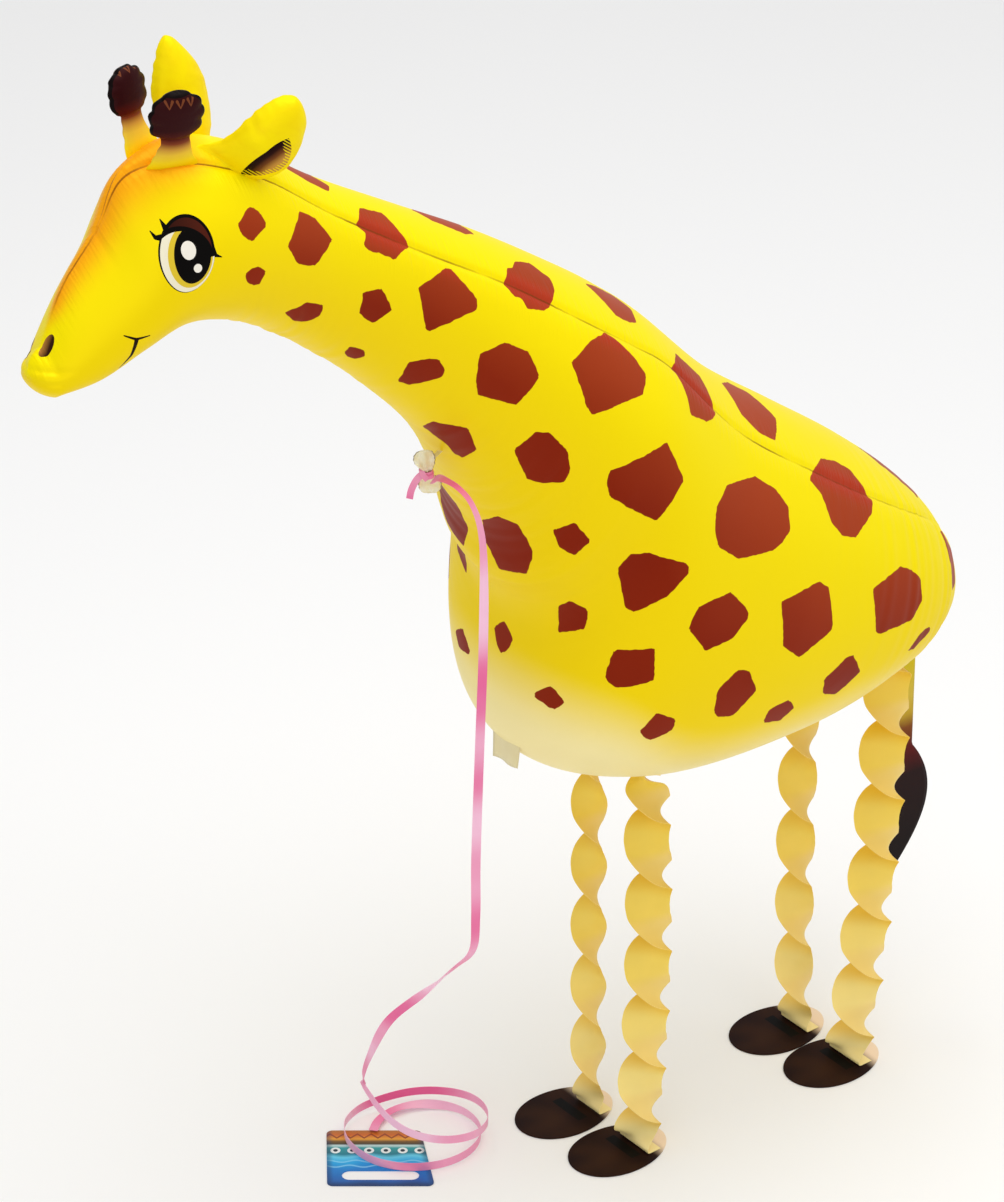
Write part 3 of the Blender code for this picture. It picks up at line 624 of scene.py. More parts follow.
# printed spots: station, degrees from the top, then the corners in millimetres along and down
# the skin from there; of the last four only an edge shows over the back and the rump
SPOTS = (
    (4.43, 72, ((-2, -9), (1, -10), (8, -6), (11, -2), (11, 1), (3, 9), (0, 10), (-7, 6), (-9, 1))),
    (4.27, 104, ((-8, -1), (-4, -5), (1, -6), (7, -3), (5, 5), (1, 6), (-5, 4))),
    (5.40, 72, ((-11, -14), (3, -14), (19, -6), (11, 12), (-3, 15), (-15, 8))),
    (5.37, 122, ((-12, 6), (-5, -6), (8, -9), (12, -1), (7, 8), (-1, 9))),
    (6.50, 45, ((-15, -13), (5, -16), (24, 1), (18, 5), (11, 13), (-1, 12), (-9, 13), (-15, 11),
                (-13, 3), (-19, -1))),
    (6.37, 95, ((-12, -4), (-1, -11), (5, -8), (14, -2), (7, 10), (-6, 8))),
    (6.40, 137, ((-5, 3), (-7, -3), (0, -5), (4, -5), (8, -1), (7, 5), (2, 7))),
    (7.17, 72, ((-21, 0), (-4, -18), (0, -19), (23, -9), (25, -3), (0, 20), (-4, 19))),
    (7.17, 121, ((-5, 13), (-12, -1), (-3, -10), (3, -12), (11, -9), (13, -4), (4, 13), (-3, 16))),
    (8.20, 39, ((-17, -6), (-13, -8), (-8, -16), (7, -22), (22, -16), (22, -7), (18, 6), (12, 12),
                (-2, 16), (-6, 11), (-13, 12), (-20, 7))),
    (7.93, 93, ((-23, -1), (-12, -15), (6, -18), (21, -10), (20, 12), (-4, 20), (-14, 12))),
    (7.90, 149, ((-10, 17), (-17, 3), (-4, -14), (16, -7), (22, 8), (19, 12), (12, 11))),
    (8.60, 114, ((-17, 11), (-20, -7), (-14, -13), (3, -14), (16, -7), (20, 1), (14, 11), (6, 18))),
    (9.80, 17, ((-20, -7), (-2, -15), (14, -18), (24, -8), (19, 9), (10, 14), (-3, 15))),
    (9.03, 61, ((-28, 7), (-20, -12), (-8, -25), (-2, -26), (17, -22), (30, -16), (30, -3), (2, 26),
                (-3, 25))),
    (9.67, 199, ((-20, 6), (-16, -6), (-4, -8), (22, 8), (21, 22), (1, 19))),
    (9.27, 160, ((-15, 15), (-24, -3), (-19, -14), (0, -18), (7, -17), (20, -9), (22, 13), (3, 21))),
    (9.60, 126, ((-7, 9), (-9, 1), (-10, -6), (5, -11), (13, 2), (5, 10))),
    (10.40, 86, ((0, -27), (25, -15), (23, 15), (21, 16), (-14, 20), (-22, 15), (-26, 7))),
    (11.30, 38, ((-15, -22), (12, -24), (26, -4), (21, 6), (15, 13), (-2, 20), (-11, 8), (-23, -2))),
    (11.20, 107, ((-9, 17), (-14, 15), (-20, 7), (-17, -4), (-2, -24), (4, -26), (8, -20), (15, -8),
                  (20, 14), (16, 18))),
    (11.03, 145, ((-8, 8), (-14, -2), (-8, -12), (-1, -11), (6, -8), (12, 12))),
    (11.27, 182, ((5, 13), (-4, 12), (-12, -4), (-4, -13), (6, -9), (10, -5), (9, 9))),
    (12.30, 21, ((-23, -14), (-8, -24), (13, -25), (26, -5), (14, 19), (-3, 19), (-18, 11))),
    (12.10, 60, ((-30, -9), (-4, -27), (16, -28), (30, -22), (35, -8), (31, 2), (25, 10), (-1, 27),
                 (-21, 28), (-30, 19), (-34, 8))),
    (12.07, 89, ((-19, 2), (-14, -5), (-4, -18), (14, -17), (20, -15), (19, 3), (9, 18), (7, 19),
                 (-14, 16))),
    (11.67, 120, ((-14, 10), (-12, -15), (10, -11), (12, 0), (12, 13), (8, 17), (4, 19))),
    (11.60, 155, ((1, 14), (-4, 9), (-10, -1), (-2, -12), (6, -3))),
    (13.27, 42, ((-11, -25), (6, -27), (20, -24), (34, -5), (29, 6), (9, 25), (-4, 26), (-14, 20),
                 (-22, 3), (-32, -5), (-29, -9))),
    (12.97, 80, ((-26, -7), (5, -24), (15, -21), (27, 3), (21, 10), (5, 25), (-13, 20))),
    (12.63, 105, ((-14, 0), (-10, -10), (-7, -16), (2, -17), (17, -6), (12, 16), (1, 19), (-5, 16))),
    (12.27, 123, ((-7, 10), (-11, -8), (5, -11), (11, -2), (6, 11), (1, 12))),
    (13.23, 111, ((-9, 8), (-11, -4), (3, -10), (13, -2), (7, 9))),
    (14.03, 75, ((-26, -8), (5, -21), (18, -18), (28, -12), (30, 2), (20, 14), (-12, 21), (-17, 20))),
    (13.63, 100, ((-10, 13), (-15, 0), (1, -13), (7, -13), (20, 2), (5, 17))),
    (14.70, 96, ((-11, 6), (-1, -5), (9, -6), (13, -2), (-3, 7))),
    (5.75, 11, ((-22, -6), (14, -8), (24, 0), (20, 7), (2, 6), (-14, 3))),
    (7.45, 5, ((-24, -8), (8, -12), (24, -4), (26, 5), (16, 9), (-10, 5))),
    (14.72, 15, ((-26, -16), (16, -18), (30, -2), (20, 14), (2, 8), (-20, -2))),
    (15.55, 56, ((-7, -18), (4, -20), (12, -8), (12, 10), (2, 20), (-6, 16))),
)


def polygon_depth(x, y, corners):
    """Signed distance of points from the edge of a polygon, positive inside it."""
    nearest = np.full(x.shape, 1e9)
    inside = np.zeros(x.shape, bool)
    for (ax, ay), (bx, by) in zip(corners, corners[1:] + corners[:1]):
        ex, ey = bx - ax, by - ay
        share = np.clip(((x - ax) * ex + (y - ay) * ey) / (ex * ex + ey * ey), 0, 1)
        nearest = np.minimum(nearest, np.hypot(x - ax - share * ex, y - ay - share * ey))
        if ay != by:
            inside ^= ((ay > y) != (by > y)) & (x < ex * (y - ay) / ey + ax)
    return np.where(inside, nearest, -nearest)


OUTSIDE = -50.0  # depth given to points that are far from every spot
SPOT_REACH = 26  # a spot prints only on skin this close to its own plane


def spot_depth(skin):
    """Depth inside the nearest printed spot, in millimetres, for every point of the left half."""
    depth = np.full(skin.shape[:2], OUTSIDE)
    for place, degrees, corners in SPOTS:
        rows = np.array([place - 0.02, place, place + 0.02])
        turn = np.radians([degrees - 1, degrees, degrees + 1])
        patch = section_points(rows, np.zeros(3), np.ones(3), np.tile(turn, (3, 1)))
        centre = patch[1, 1]
        along = unit(patch[2, 1] - patch[0, 1])
        down = patch[1, 2] - patch[1, 0]
        down = unit(down - along * (down @ along))
        normal = np.cross(along, down)
        offset = skin - centre
        x, y, height = offset @ along, offset @ down, offset @ normal
        near = np.abs(height) < SPOT_REACH
        depth = np.where(near, np.maximum(depth, polygon_depth(x, y, corners)), depth)
    return depth


spots = spot_depth(left)

# orange blush over the bridge of the nose and the forehead, cream under the chest and belly
height = left[:, :, 2]
forward = left[:, :, 1]
blush_width = np.interp(station, (0.2, 0.6, 1, 2, 3, 3.6, 4.1, 4.4), (1, 6, 10, 15, 20, 15, 8, 1))
blush = np.exp(-(np.maximum(from_seam, 0) / blush_width) ** 2)
blush *= np.interp(station, (0.2, 0.7, 3.9, 4.5), (0, 1, 1, 0))
cream_middle = 330 + 57 / (1 + np.exp((forward + 135) / 16))
cream = np.clip((cream_middle + 28 - height) / 60, 0, 1)
cream = cream ** 2 * (3 - 2 * cream) * np.interp(station, (8.5, 10, 14, 15.5), (0, 1, 1, 0.2))


def mirrored(half_values):
    """Values of the whole skin from those of its left half."""
    return np.concatenate([half_values, half_values[:, -2:0:-1]], axis=1)


def ring_faces(rings, sides):
    """Quads between closed rings of points that follow one another."""
    return [(i * sides + j, i * sides + k, (i + 1) * sides + k, (i + 1) * sides + j)
            for i in range(rings - 1) for j in range(sides) for k in [(j + 1) % sides]]


right = left.copy()
right[:, :, 0] *= -1
skin = np.concatenate([left, right[:, -2:0:-1]], axis=1)
columns = skin.shape[1]
tips = section_points(np.array([0, len(STATIONS) - 1.0]), np.array([-SNOUT_CAP, RUMP_CAP]),
                      np.zeros(2), np.zeros((2, 1)))
grid_points = np.vstack([skin.reshape(-1, 3), tips[:, 0]])
faces = ring_faces(ring_total, columns)
for j in range(columns):
    k = (j + 1) % columns
    faces.append((k, j, ring_total * columns))
    faces.append(((ring_total - 1) * columns + j, (ring_total - 1) * columns + k,
                  ring_total * columns + 1))


def shader_group(name, inputs, outputs):
    """Empty shader node group with its sockets; returns it, its inputs and its outputs."""
    group = bpy.data.node_groups.new(name, "ShaderNodeTree")
    for title, kind, value in inputs:
        socket = group.interface.new_socket(title, in_out="INPUT", socket_type=kind)
        if value is not None:
            socket.default_value = value
    for title, kind in outputs:
        group.interface.new_socket(title, in_out="OUTPUT", socket_type=kind)
    given = group.nodes.new("NodeGroupInput").outputs
    result = group.nodes.new("NodeGroupOutput").inputs
    return group, given, result


def film_crinkle_group():
    """Crinkle of thin film: soft dents with fine creases between them."""
    group, given, result = shader_group(
        "film_crinkle",
        (("Vector", "NodeSocketVector", None), ("Creases", "NodeSocketFloat", 40.0),
         ("Depth", "NodeSocketFloat", 0.1)),
        (("Shade", "NodeSocketFloat"), ("Normal", "NodeSocketVector")))
    soft = add_node(group, "ShaderNodeTexNoise", {"Vector": given["Vector"], "Detail": 2.0,
                                                  "Scale": given["Creases"], "Distortion": 0.6})
    ridge = calculate(group, "ABSOLUTE", calculate(group, "SUBTRACT", soft.outputs["Fac"], 0.5))
    height = calculate(group, "ADD", soft.outputs["Fac"],
                       times(group, ridge, 0.7))
    bump = add_node(group, "ShaderNodeBump", {"Height": height, "Strength": given["Depth"],
                                              "Distance": 0.002})
    group.links.new(soft.outputs["Fac"], result["Shade"])
    group.links.new(bump.outputs[0], result["Normal"])
    return group


def distance_of(tree, x, y):
    """Length of the line whose two parts are x and y."""
    return calculate(tree, "SQRT", calculate(tree, "ADD", times(tree, x, x), times(tree, y, y)))


def inked_stroke_group():
    """Mask of a printed stroke between two points, whose half width changes along it."""
    numbers = ("Across", "Upward", "Start Across", "Start Upward", "End Across", "End Upward",
               "Start Width", "End Width")
    group, given, result = shader_group(
        "inked_stroke", [(title, "NodeSocketFloat", 0.0) for title in numbers],
        (("Mask", "NodeSocketFloat"),))
    px = calculate(group, "SUBTRACT", given["Across"], given["Start Across"])
    py = calculate(group, "SUBTRACT", given["Upward"], given["Start Upward"])
    ex = calculate(group, "SUBTRACT", given["End Across"], given["Start Across"])
    ey = calculate(group, "SUBTRACT", given["End Upward"], given["Start Upward"])
    reach = calculate(group, "ADD", times(group, ex, ex), times(group, ey, ey))
    passed = calculate(group, "ADD", times(group, px, ex), times(group, py, ey))
    share = calculate(group, "DIVIDE", passed, reach, clamp=True)
    ox = calculate(group, "SUBTRACT", px, times(group, ex, share))
    oy = calculate(group, "SUBTRACT", py, times(group, ey, share))
    distance = distance_of(group, ox, oy)
    width = add_node(group, "ShaderNodeMapRange", {"Value": share, "To Min": given["Start Width"],
                                                   "To Max": given["End Width"]})
    group.links.new(calculate(group, "LESS_THAN", distance, width.outputs["Result"]),
                    result["Mask"])
    return group


film_crinkle = film_crinkle_group()
inked_stroke = inked_stroke_group()


def crinkled(tree, shader, place, creases, depth):
    """Give a shader the crinkle of film; returns the shade that goes with it."""
    made = add_node(tree, "ShaderNodeGroup", {"Vector": place, "Creases": creases, "Depth": depth},
                    node_tree=film_crinkle)
    tree.links.new(made.outputs["Normal"], shader.inputs["Normal"])
    return made.outputs["Shade"]


def strokes(tree, across, upward, lines):
    """Mask of several strokes: each has its start, its end and its half width at both."""
    total = None
    for start, end, start_width, end_width in lines:
        mask = add_node(tree, "ShaderNodeGroup", {
            "Across": across, "Upward": upward, "Start Across": start[0], "Start Upward": start[1],
            "End Across": end[0], "End Upward": end[1], "Start Width": start_width,
            "End Width": end_width}, node_tree=inked_stroke).outputs["Mask"]
        total = mask if total is None else calculate(tree, "MAXIMUM", total, mask)
    return total


def face_ellipse(tree, y, z, centre, half_sizes, turn):
    """Distance from the middle of a printed ellipse: 1 on its outline."""
    angle = math.radians(turn)
    across = calculate(tree, "SUBTRACT", y, centre[0])
    upward = calculate(tree, "SUBTRACT", z, centre[1])
    u = calculate(tree, "ADD", times(tree, across, math.cos(angle) / half_sizes[0]),
                  times(tree, upward, math.sin(angle) / half_sizes[0]))
    v = calculate(tree, "SUBTRACT", times(tree, upward, math.cos(angle) / half_sizes[1]),
                  times(tree, across, math.sin(angle) / half_sizes[1]))
    return distance_of(tree, u, v)


def inside(tree, distance, edge=1.0):
    """1 where the distance is less than the edge."""
    return calculate(tree, "LESS_THAN", distance, edge)


# the foil's own yellow, and that yellow in painted shade down the sides
FOIL_YELLOW = ink(254, 234, 0)
FOIL_SHADED = ink(246, 214, 6)
BLUSH_INK = (255, 170, 18)
CREAM_INK = (250, 235, 170)
# painted light and shade of the spots' brown: lit and shaded, each between two inks, and beside the
# seam
SPOT_LIT = ((156, 54, 24), (182, 74, 34))
SPOT_SHADED = ((124, 26, 5), (146, 42, 9))
SPOT_BY_SEAM = (186, 54, 34)
WELD_INK = (120, 58, 14)
LINE_INK = (30, 16, 8)
NOSTRIL_INKS = ((178, 122, 56), (52, 24, 12))
EYE_BLACK = (9, 7, 6)
EYE_WHITE_INK = (243, 236, 208)
EYE_IRIS_INK = (226, 196, 52)
EYE_SHINE_INK = (246, 240, 226)
LID_INKS = ((40, 15, 9), (80, 30, 18))
FOIL_ROUGHNESS = 0.42
FOIL_METAL = 0.18
FOIL_GLOSS = 0.06
# the eye, in layout y and z: middle, half sizes and tilt of each of its ovals
EYE_OUTLINE = ((-436.0, 766.6), (21.4, 15.5), 74)
EYE_WHITE = ((-435.7, 766.3), (20.8, 15.0), 74)
EYE_IRIS = ((-434.6, 765.2), (17.4, 12.7), 75)
EYE_PUPIL = ((-433.5, 765.5), (15.5, 10.6), 76)
EYE_RIM = ((-436.0, 766.6), (19.6, 13.9), 74)
EYE_SHINES = (((-435.4, 769.0), (5.1, 4.2), 80), ((-432.1, 758.4), (2.5, 2.5), 0))
LID_MIDDLE = (-438.8, 764.7)
LID_LINE = (14.8, 17.4)  # inner and outer radius of the black line along the lid's edge
LID_END = 763.0
LASHES = (((-446.7, 777.2), (-450.2, 777.4), 2.0, 1.2), ((-450.2, 777.4), (-451.8, 780.8), 1.2, 0.3),
          ((-443.9, 781.3), (-445.3, 786.4), 1.8, 0.3), ((-421.7, 769.8), (-420.3, 763.2), 1.4, 1.1),
          ((-420.3, 763.2), (-416.8, 761.4), 1.1, 0.3))
SMILE = (((-476.2, 725.6), (-469.8, 722.3), 0.4, 0.9), ((-469.8, 722.3), (-461.8, 722.8), 0.9, 0.4),
         ((-469.6, 722.0), (-471.5, 711.6), 1.3, 1.0), ((-471.5, 711.6), (-476.6, 702.9), 1.0, 0.4))
NOSTRIL = ((4.8, 24.0), (3.5, 8.2), -14)
FAR_NOSTRIL_SHIFT = 15
WELD_STARTS = (35.0, 60.0)  # millimetres along the seam between which the weld's line comes in
WELD_ENDS = (850.0, 790.0)


def printed_eye(tree, y, z):
    """Colour of the eye and the mask of all that it covers."""
    black = ink(*EYE_BLACK)
    eye = black
    for oval, colour in ((EYE_WHITE, EYE_WHITE_INK), (EYE_IRIS, EYE_IRIS_INK),
                         (EYE_PUPIL, EYE_BLACK), (EYE_SHINES[0], EYE_SHINE_INK),
                         (EYE_SHINES[1], EYE_SHINE_INK)):
        eye = mix_colours(tree, inside(tree, face_ellipse(tree, y, z, *oval)), eye, ink(*colour))
    from_lid = face_ellipse(tree, y, z, LID_MIDDLE, (1.0, 1.0), 0)
    lid = times(tree, calculate(tree, "GREATER_THAN", from_lid, LID_LINE[0]),
                calculate(tree, "GREATER_THAN", z, LID_END))
    skin = mix_colours(tree, ramp(tree, y, -446.0, -424.0), ink(*LID_INKS[0]), ink(*LID_INKS[1]))
    skin = mix_colours(tree, calculate(tree, "GREATER_THAN", from_lid, LID_LINE[1]), black, skin)
    skin = mix_colours(tree, inside(tree, face_ellipse(tree, y, z, *EYE_RIM)), black, skin)
    eye = mix_colours(tree, lid, eye, skin)
    outline = inside(tree, face_ellipse(tree, y, z, *EYE_OUTLINE))
    lashes = strokes(tree, y, z, LASHES)
    return mix_colours(tree, outline, black, eye), calculate(tree, "MAXIMUM", outline, lashes)


def printed_foil():
    """Yellow foil with its printed spots, blush, cream belly and face, and its welded seam, with
    painted shade down its sides.
    """
    material, tree, shader = new_material("printed_foil", FOIL_ROUGHNESS)
    shader.inputs["Metallic"].default_value = FOIL_METAL
    shader.inputs["Specular IOR Level"].default_value = FOIL_GLOSS
    place = add_node(tree, "ShaderNodeTexCoord").outputs["Object"]
    separate = add_node(tree, "ShaderNodeSeparateXYZ", {0: place})
    # millimetres in the layout
    y = calculate(tree, "SUBTRACT", times(tree, separate.outputs[1], 1000.0),
                  LAYOUT_POINT.y * 1000)
    z = times(tree, separate.outputs[2], 1000.0)
    seam = stored(tree, "seam")
    from_seam = calculate(tree, "ABSOLUTE", seam)
    travel = stored(tree, "travel")
    cloud = add_node(tree, "ShaderNodeTexNoise", {"Vector": place, "Scale": 7.0, "Detail": 1.0})
    # painted shade: away from the top of each section the yellow and the spots' brown turn darker down
    # the sides, with faint clouds
    deeper = calculate(tree, "ADD", ramp(tree, stored(tree, "degrees"), 30.0, 120.0, smooth=True),
                       times(tree, cloud.outputs["Fac"], 0.3))
    yellow = mix_colours(tree, ramp(tree, deeper, 0.05, 1.2), FOIL_YELLOW, FOIL_SHADED)
    colour = mix_colours(tree, stored(tree, "cream"), yellow, ink(*CREAM_INK))
    colour = mix_colours(tree, stored(tree, "blush"), colour, ink(*BLUSH_INK))
    mottle = add_node(tree, "ShaderNodeTexNoise", {"Vector": place, "Scale": 9.0, "Detail": 2.0})
    lit, shaded = (mix_colours(tree, mottle.outputs["Fac"], ink(*first), ink(*second))
                   for first, second in (SPOT_LIT, SPOT_SHADED))
    brown = mix_colours(tree, ramp(tree, deeper, 0.2, 1.0), lit, shaded)
    by_seam = ramp(tree, from_seam, 14.0, 3.0, smooth=True)
    brown = mix_colours(tree, times(tree, by_seam, 0.6), brown, ink(*SPOT_BY_SEAM))
    ragged = add_node(tree, "ShaderNodeTexNoise", {"Vector": place, "Scale": 190.0, "Detail": 1.0})
    wander = times(tree, calculate(tree, "SUBTRACT", ragged.outputs["Fac"], 0.5), 1.6)
    edge = ramp(tree, calculate(tree, "ADD", stored(tree, "spot"), wander), -0.15, 0.15)
    colour = mix_colours(tree, edge, colour, brown)
    # the weld is a thin dark line that comes and goes
    patchy = add_node(tree, "ShaderNodeTexNoise", {"Vector": place, "Scale": 26.0, "Detail": 2.0})
    weld = times(tree, ramp(tree, from_seam, 1.0, 0.3),
                 ramp(tree, patchy.outputs["Fac"], 0.3, 0.6))
    weld = times(tree, weld, times(tree, ramp(tree, travel, *WELD_ENDS),
                                   ramp(tree, travel, *WELD_STARTS)))
    colour = mix_colours(tree, times(tree, weld, 0.8), colour, ink(*WELD_INK))
    # face
    eye, covered = printed_eye(tree, y, z)
    colour = mix_colours(tree, covered, colour, eye)
    colour = mix_colours(tree, strokes(tree, y, z, SMILE), colour, ink(*LINE_INK))
    far_side = calculate(tree, "LESS_THAN", separate.outputs[0], 0.0)
    from_middle = calculate(tree, "SUBTRACT", from_seam,
                            times(tree, far_side, FAR_NOSTRIL_SHIFT))
    nostril = face_ellipse(tree, from_middle, travel, *NOSTRIL)
    hollow = mix_colours(tree, ramp(tree, from_middle, NOSTRIL[0][0] - 3.5, NOSTRIL[0][0] + 1.5),
                         *(ink(*colours) for colours in NOSTRIL_INKS))
    colour = mix_colours(tree, inside(tree, nostril), colour, hollow)
    tree.links.new(colour, shader.inputs["Base Color"])
    # fine creases that gather at the weld, over the crinkle of the film
    gathered = add_node(tree, "ShaderNodeCombineXYZ", {
        0: times(tree, travel, 0.42), 1: times(tree, seam, 0.035)})
    creases = add_node(tree, "ShaderNodeTexNoise", {"Vector": gathered.outputs[0], "Scale": 1.0,
                                                    "Detail": 2.0})
    height = times(tree, creases.outputs["Fac"], ramp(tree, from_seam, 26.0, 1.0, smooth=True))
    bump = add_node(tree, "ShaderNodeBump", {"Height": height, "Strength": 0.5, "Distance": 0.0016})
    crinkled(tree, shader, place, 34.0, 0.12)
    group_normal = shader.inputs["Normal"].links[0].from_socket
    tree.links.new(group_normal, bump.inputs["Normal"])
    tree.links.new(bump.outputs[0], shader.inputs["Normal"])
    return material


foil_print = printed_foil()
envelope = new_piece("foil_envelope", grid_points, faces, foil_print)
turn_outward(envelope)
for name, values in (("spot", spots), ("blush", blush), ("cream", cream), ("seam", from_seam),
                     ("travel", travel_along), ("degrees", degrees)):
    whole = mirrored(values).reshape(-1)
    store(envelope, name, np.concatenate([whole, [whole[0], whole[-1]]]))
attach(envelope, "root")
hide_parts("balloon")

# ---------------------------------------------------------------------------------------------
# Horns and ears: flat double lobes of the same foil, sealed round their rim and puffed up.  The
# horns end in a printed scalloped tuft; each ear has a printed hollow on its outer side.
HORNS = {
    "horn_left": ((18, -429, 808), (9, -3, 53), (11, 39, -4)),
    "horn_right": ((-18, -429, 808), (-9, -3, 53), (-8, 38, -4)),
}
EARS = {
    "ear_left": ((24, -390, 800), (10, 32, 37), (10, 18, -24)),
    "ear_right": ((-23, -389, 795), (-19, -3, 65), (3, 49, 4)),
}
# outlines: height above the base, then where the front and the back edge lie across the lobe
HORN_EDGES = ((-12, -13, 19), (0, -13.5, 17), (8, -12, 12.5), (16, -10, 9.4), (22, -8.8, 8.4),
              (25, -9.4, 9), (27, -12.6, 12.2), (31, -15.2, 14.8), (37, -16, 15.8),
              (43, -15.8, 15.6), (48, -13.6, 13.4), (51.6, -9.8, 9.6), (53.8, -5, 5), (54.3, -1, 1))
EAR_EDGES = {
    "ear_left": ((-14, -27, 8), (-7, -25, 11), (0, -20, 17), (6, -16.6, 21), (12, -15.4, 22.6),
                 (18, -15.7, 22.8),
                 (28, -14.6, 21.6), (36, -12.9, 19), (43, -10.5, 15.4), (48, -7.6, 10.6),
                 (51.3, -4.6, 5.4), (52.6, -1.5, 1.5)),
    "ear_right": ((-12, -11, 10), (3, -15.5, 13.4), (12, -16.9, 16.4), (25, -17.6, 17.9),
                  (38, -16.6, 17.9), (47, -13.6, 15.4), (54, -10.4, 12), (60, -7.2, 8.4),
                  (65, -3.9, 4.4), (67.2, -1, 1)),
}
HORN_HALF_THICKNESS = 6.5
EAR_HALF_THICKNESS = 9
TUFT_FOOT = 25
TUFT_MIDDLE = 39
TUFT_SCALLOPS = 5
TUFT_SCALLOP_DEPTH = 1.5
BLACK_RIM = 1.3
LOBE_CREASES = (7.3, 9.9, 13.1)
LOBE_RINGS = 72
LOBE_SIDES = 60
LOBE_FULLNESS = 17  # half width at which a lobe reaches its full thickness
HORN_SIZES = {"horn_left": 1.0, "horn_right": 0.92}
# the root of each lobe is flat and leans in to the seam over its lowest part
ROOT_HEIGHT = 20
ROOT_THICKNESS = 0.35
ROOT_LEAN = {"horn_left": (-6, 0, 1), "horn_right": (4, 0, 0), "ear_left": (-6, -2, 2),
             "ear_right": (0, 0, 0)}


def lobe_frame(base, up, across):
    """Base point and the directions across, through and up a lobe."""
    z = unit(np.array(up, float))
    x = np.array(across, float)
    x = unit(x - z * (x @ z))
    return np.array(base, float), x, np.cross(z, x), z


def lay_flat(piece, name, flat):
    """UV layer of a piece: the flat place of each of its points, from millimetres."""
    layer = piece.data.uv_layers.new(name=name)
    for loop in piece.data.loops:
        layer.data[loop.index].uv = flat[loop.vertex_index] * MM


def flat_place(tree, name):
    """Flat coordinates of a piece: the socket as it is, then both its parts in millimetres."""
    flat = add_node(tree, "ShaderNodeUVMap", uv_map=name).outputs["UV"]
    separate = add_node(tree, "ShaderNodeSeparateXYZ", {0: flat})
    u, v = (times(tree, separate.outputs[k], 1000.0) for k in (0, 1))
    return flat, u, v


def lobe_mesh(name, placing, edges, half_thickness, material, seed, scallop=0.0):
    """Puffed lobe with a crimped rim; its UV map is across and up the lobe, in metres."""
    base, x, y, z = placing
    rows = smooth_rows(edges, np.linspace(0, len(edges) - 1, LOBE_RINGS))
    heights, front, back = (rows[:, k:k + 1] for k in range(3))
    turn = 2 * np.pi * np.arange(LOBE_SIDES) / LOBE_SIDES
    across = np.cos(turn)
    through = np.sin(turn) * np.abs(np.sin(turn)) ** 0.35
    half_widths = (back - front) / 2
    u = (back + front) / 2 + half_widths * across
    v = heights + 0 * u
    # the printed tuft's rim is scalloped
    angle = np.arctan2(v - TUFT_MIDDLE, u)
    push = scallop * (np.abs(np.cos(TUFT_SCALLOPS * angle)) - 0.6) * np.clip(
        (v - TUFT_FOOT) / 3, 0, 1) * np.abs(across) ** 2
    # creases run in from the sealed rim
    rim_travel = v + 0.6 * u
    crease = uneven_wave(rim_travel, LOBE_CREASES, seed)
    near_rim = np.abs(across) ** 3
    rooted = np.clip((ROOT_HEIGHT - heights) / ROOT_HEIGHT, 0, 1)
    fullness = half_thickness * np.minimum(half_widths / LOBE_FULLNESS, 1) ** 0.7
    fullness *= 1 - (1 - ROOT_THICKNESS) * np.minimum(rooted, 1) ** 1.5
    thickness = fullness * through * (1 + 0.10 * crease * near_rim) + 0.25 * crease * near_rim
    shown_u = u + push * np.cos(angle) + 0.22 * crease * np.sign(across) * near_rim
    shown_v = v + push * np.sin(angle)
    grid = (base + shown_u[:, :, None] * x + thickness[:, :, None] * y + shown_v[:, :, None] * z)
    grid += np.array(ROOT_LEAN[name]) * (rooted ** 1.3)[:, :, None]
    count, sides = u.shape
    top = grid[-1].mean(axis=0) + z * 0.3
    bottom = grid[0].mean(axis=0)
    faces = ring_faces(count, sides)
    for j in range(sides):
        k = (j + 1) % sides
        faces.append(((count - 1) * sides + j, (count - 1) * sides + k, count * sides))
        faces.append((k, j, count * sides + 1))
    piece = new_piece(name, np.vstack([grid.reshape(-1, 3), top, bottom]), faces, material)
    turn_outward(piece)
    ends = [[0, edges[-1][0]], [0, edges[0][0]]]
    flat = np.vstack([np.stack([u, v], axis=2).reshape(-1, 2), ends])
    lay_flat(piece, "lobe", flat)
    store(piece, "rim", np.concatenate([(half_widths * (1 - np.abs(across))).reshape(-1), [0, 0]]))
    outer = -1 if name == "ear_right" else 1
    store(piece, "side", outer * np.concatenate([(through + 0 * u).reshape(-1), [0, 0]]))
    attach(piece, "root")
    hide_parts("balloon")
    return piece


def lobe_material(name):
    """Foil of a lobe: its material, tree, shader, flat coordinates and crinkled yellow."""
    material, tree, shader = new_material(name, FOIL_ROUGHNESS)
    shader.inputs["Metallic"].default_value = FOIL_METAL
    shader.inputs["Specular IOR Level"].default_value = FOIL_GLOSS
    _, u, v = flat_place(tree, "lobe")
    place = add_node(tree, "ShaderNodeTexCoord").outputs["Object"]
    # painted shade: the yellow deepens with the crinkle of the film
    shade = crinkled(tree, shader, place, 90.0, 0.16)
    yellow = mix_colours(tree, shade, FOIL_YELLOW, ink(246, 214, 10))
    return material, tree, shader, u, v, yellow


def colour_band(tree, value, low, high, stops):
    """Colour that runs through the given stops between two values."""
    band = add_node(tree, "ShaderNodeValToRGB", {"Fac": ramp(tree, value, low, high)})
    elements = band.color_ramp.elements
    elements[0].position, elements[-1].position = stops[0][0], stops[-1][0]
    elements[0].color, elements[-1].color = ink(*stops[0][1]), ink(*stops[-1][1])
    for place, colour in stops[1:-1]:
        elements.new(place).color = ink(*colour)
    return band.outputs[0]


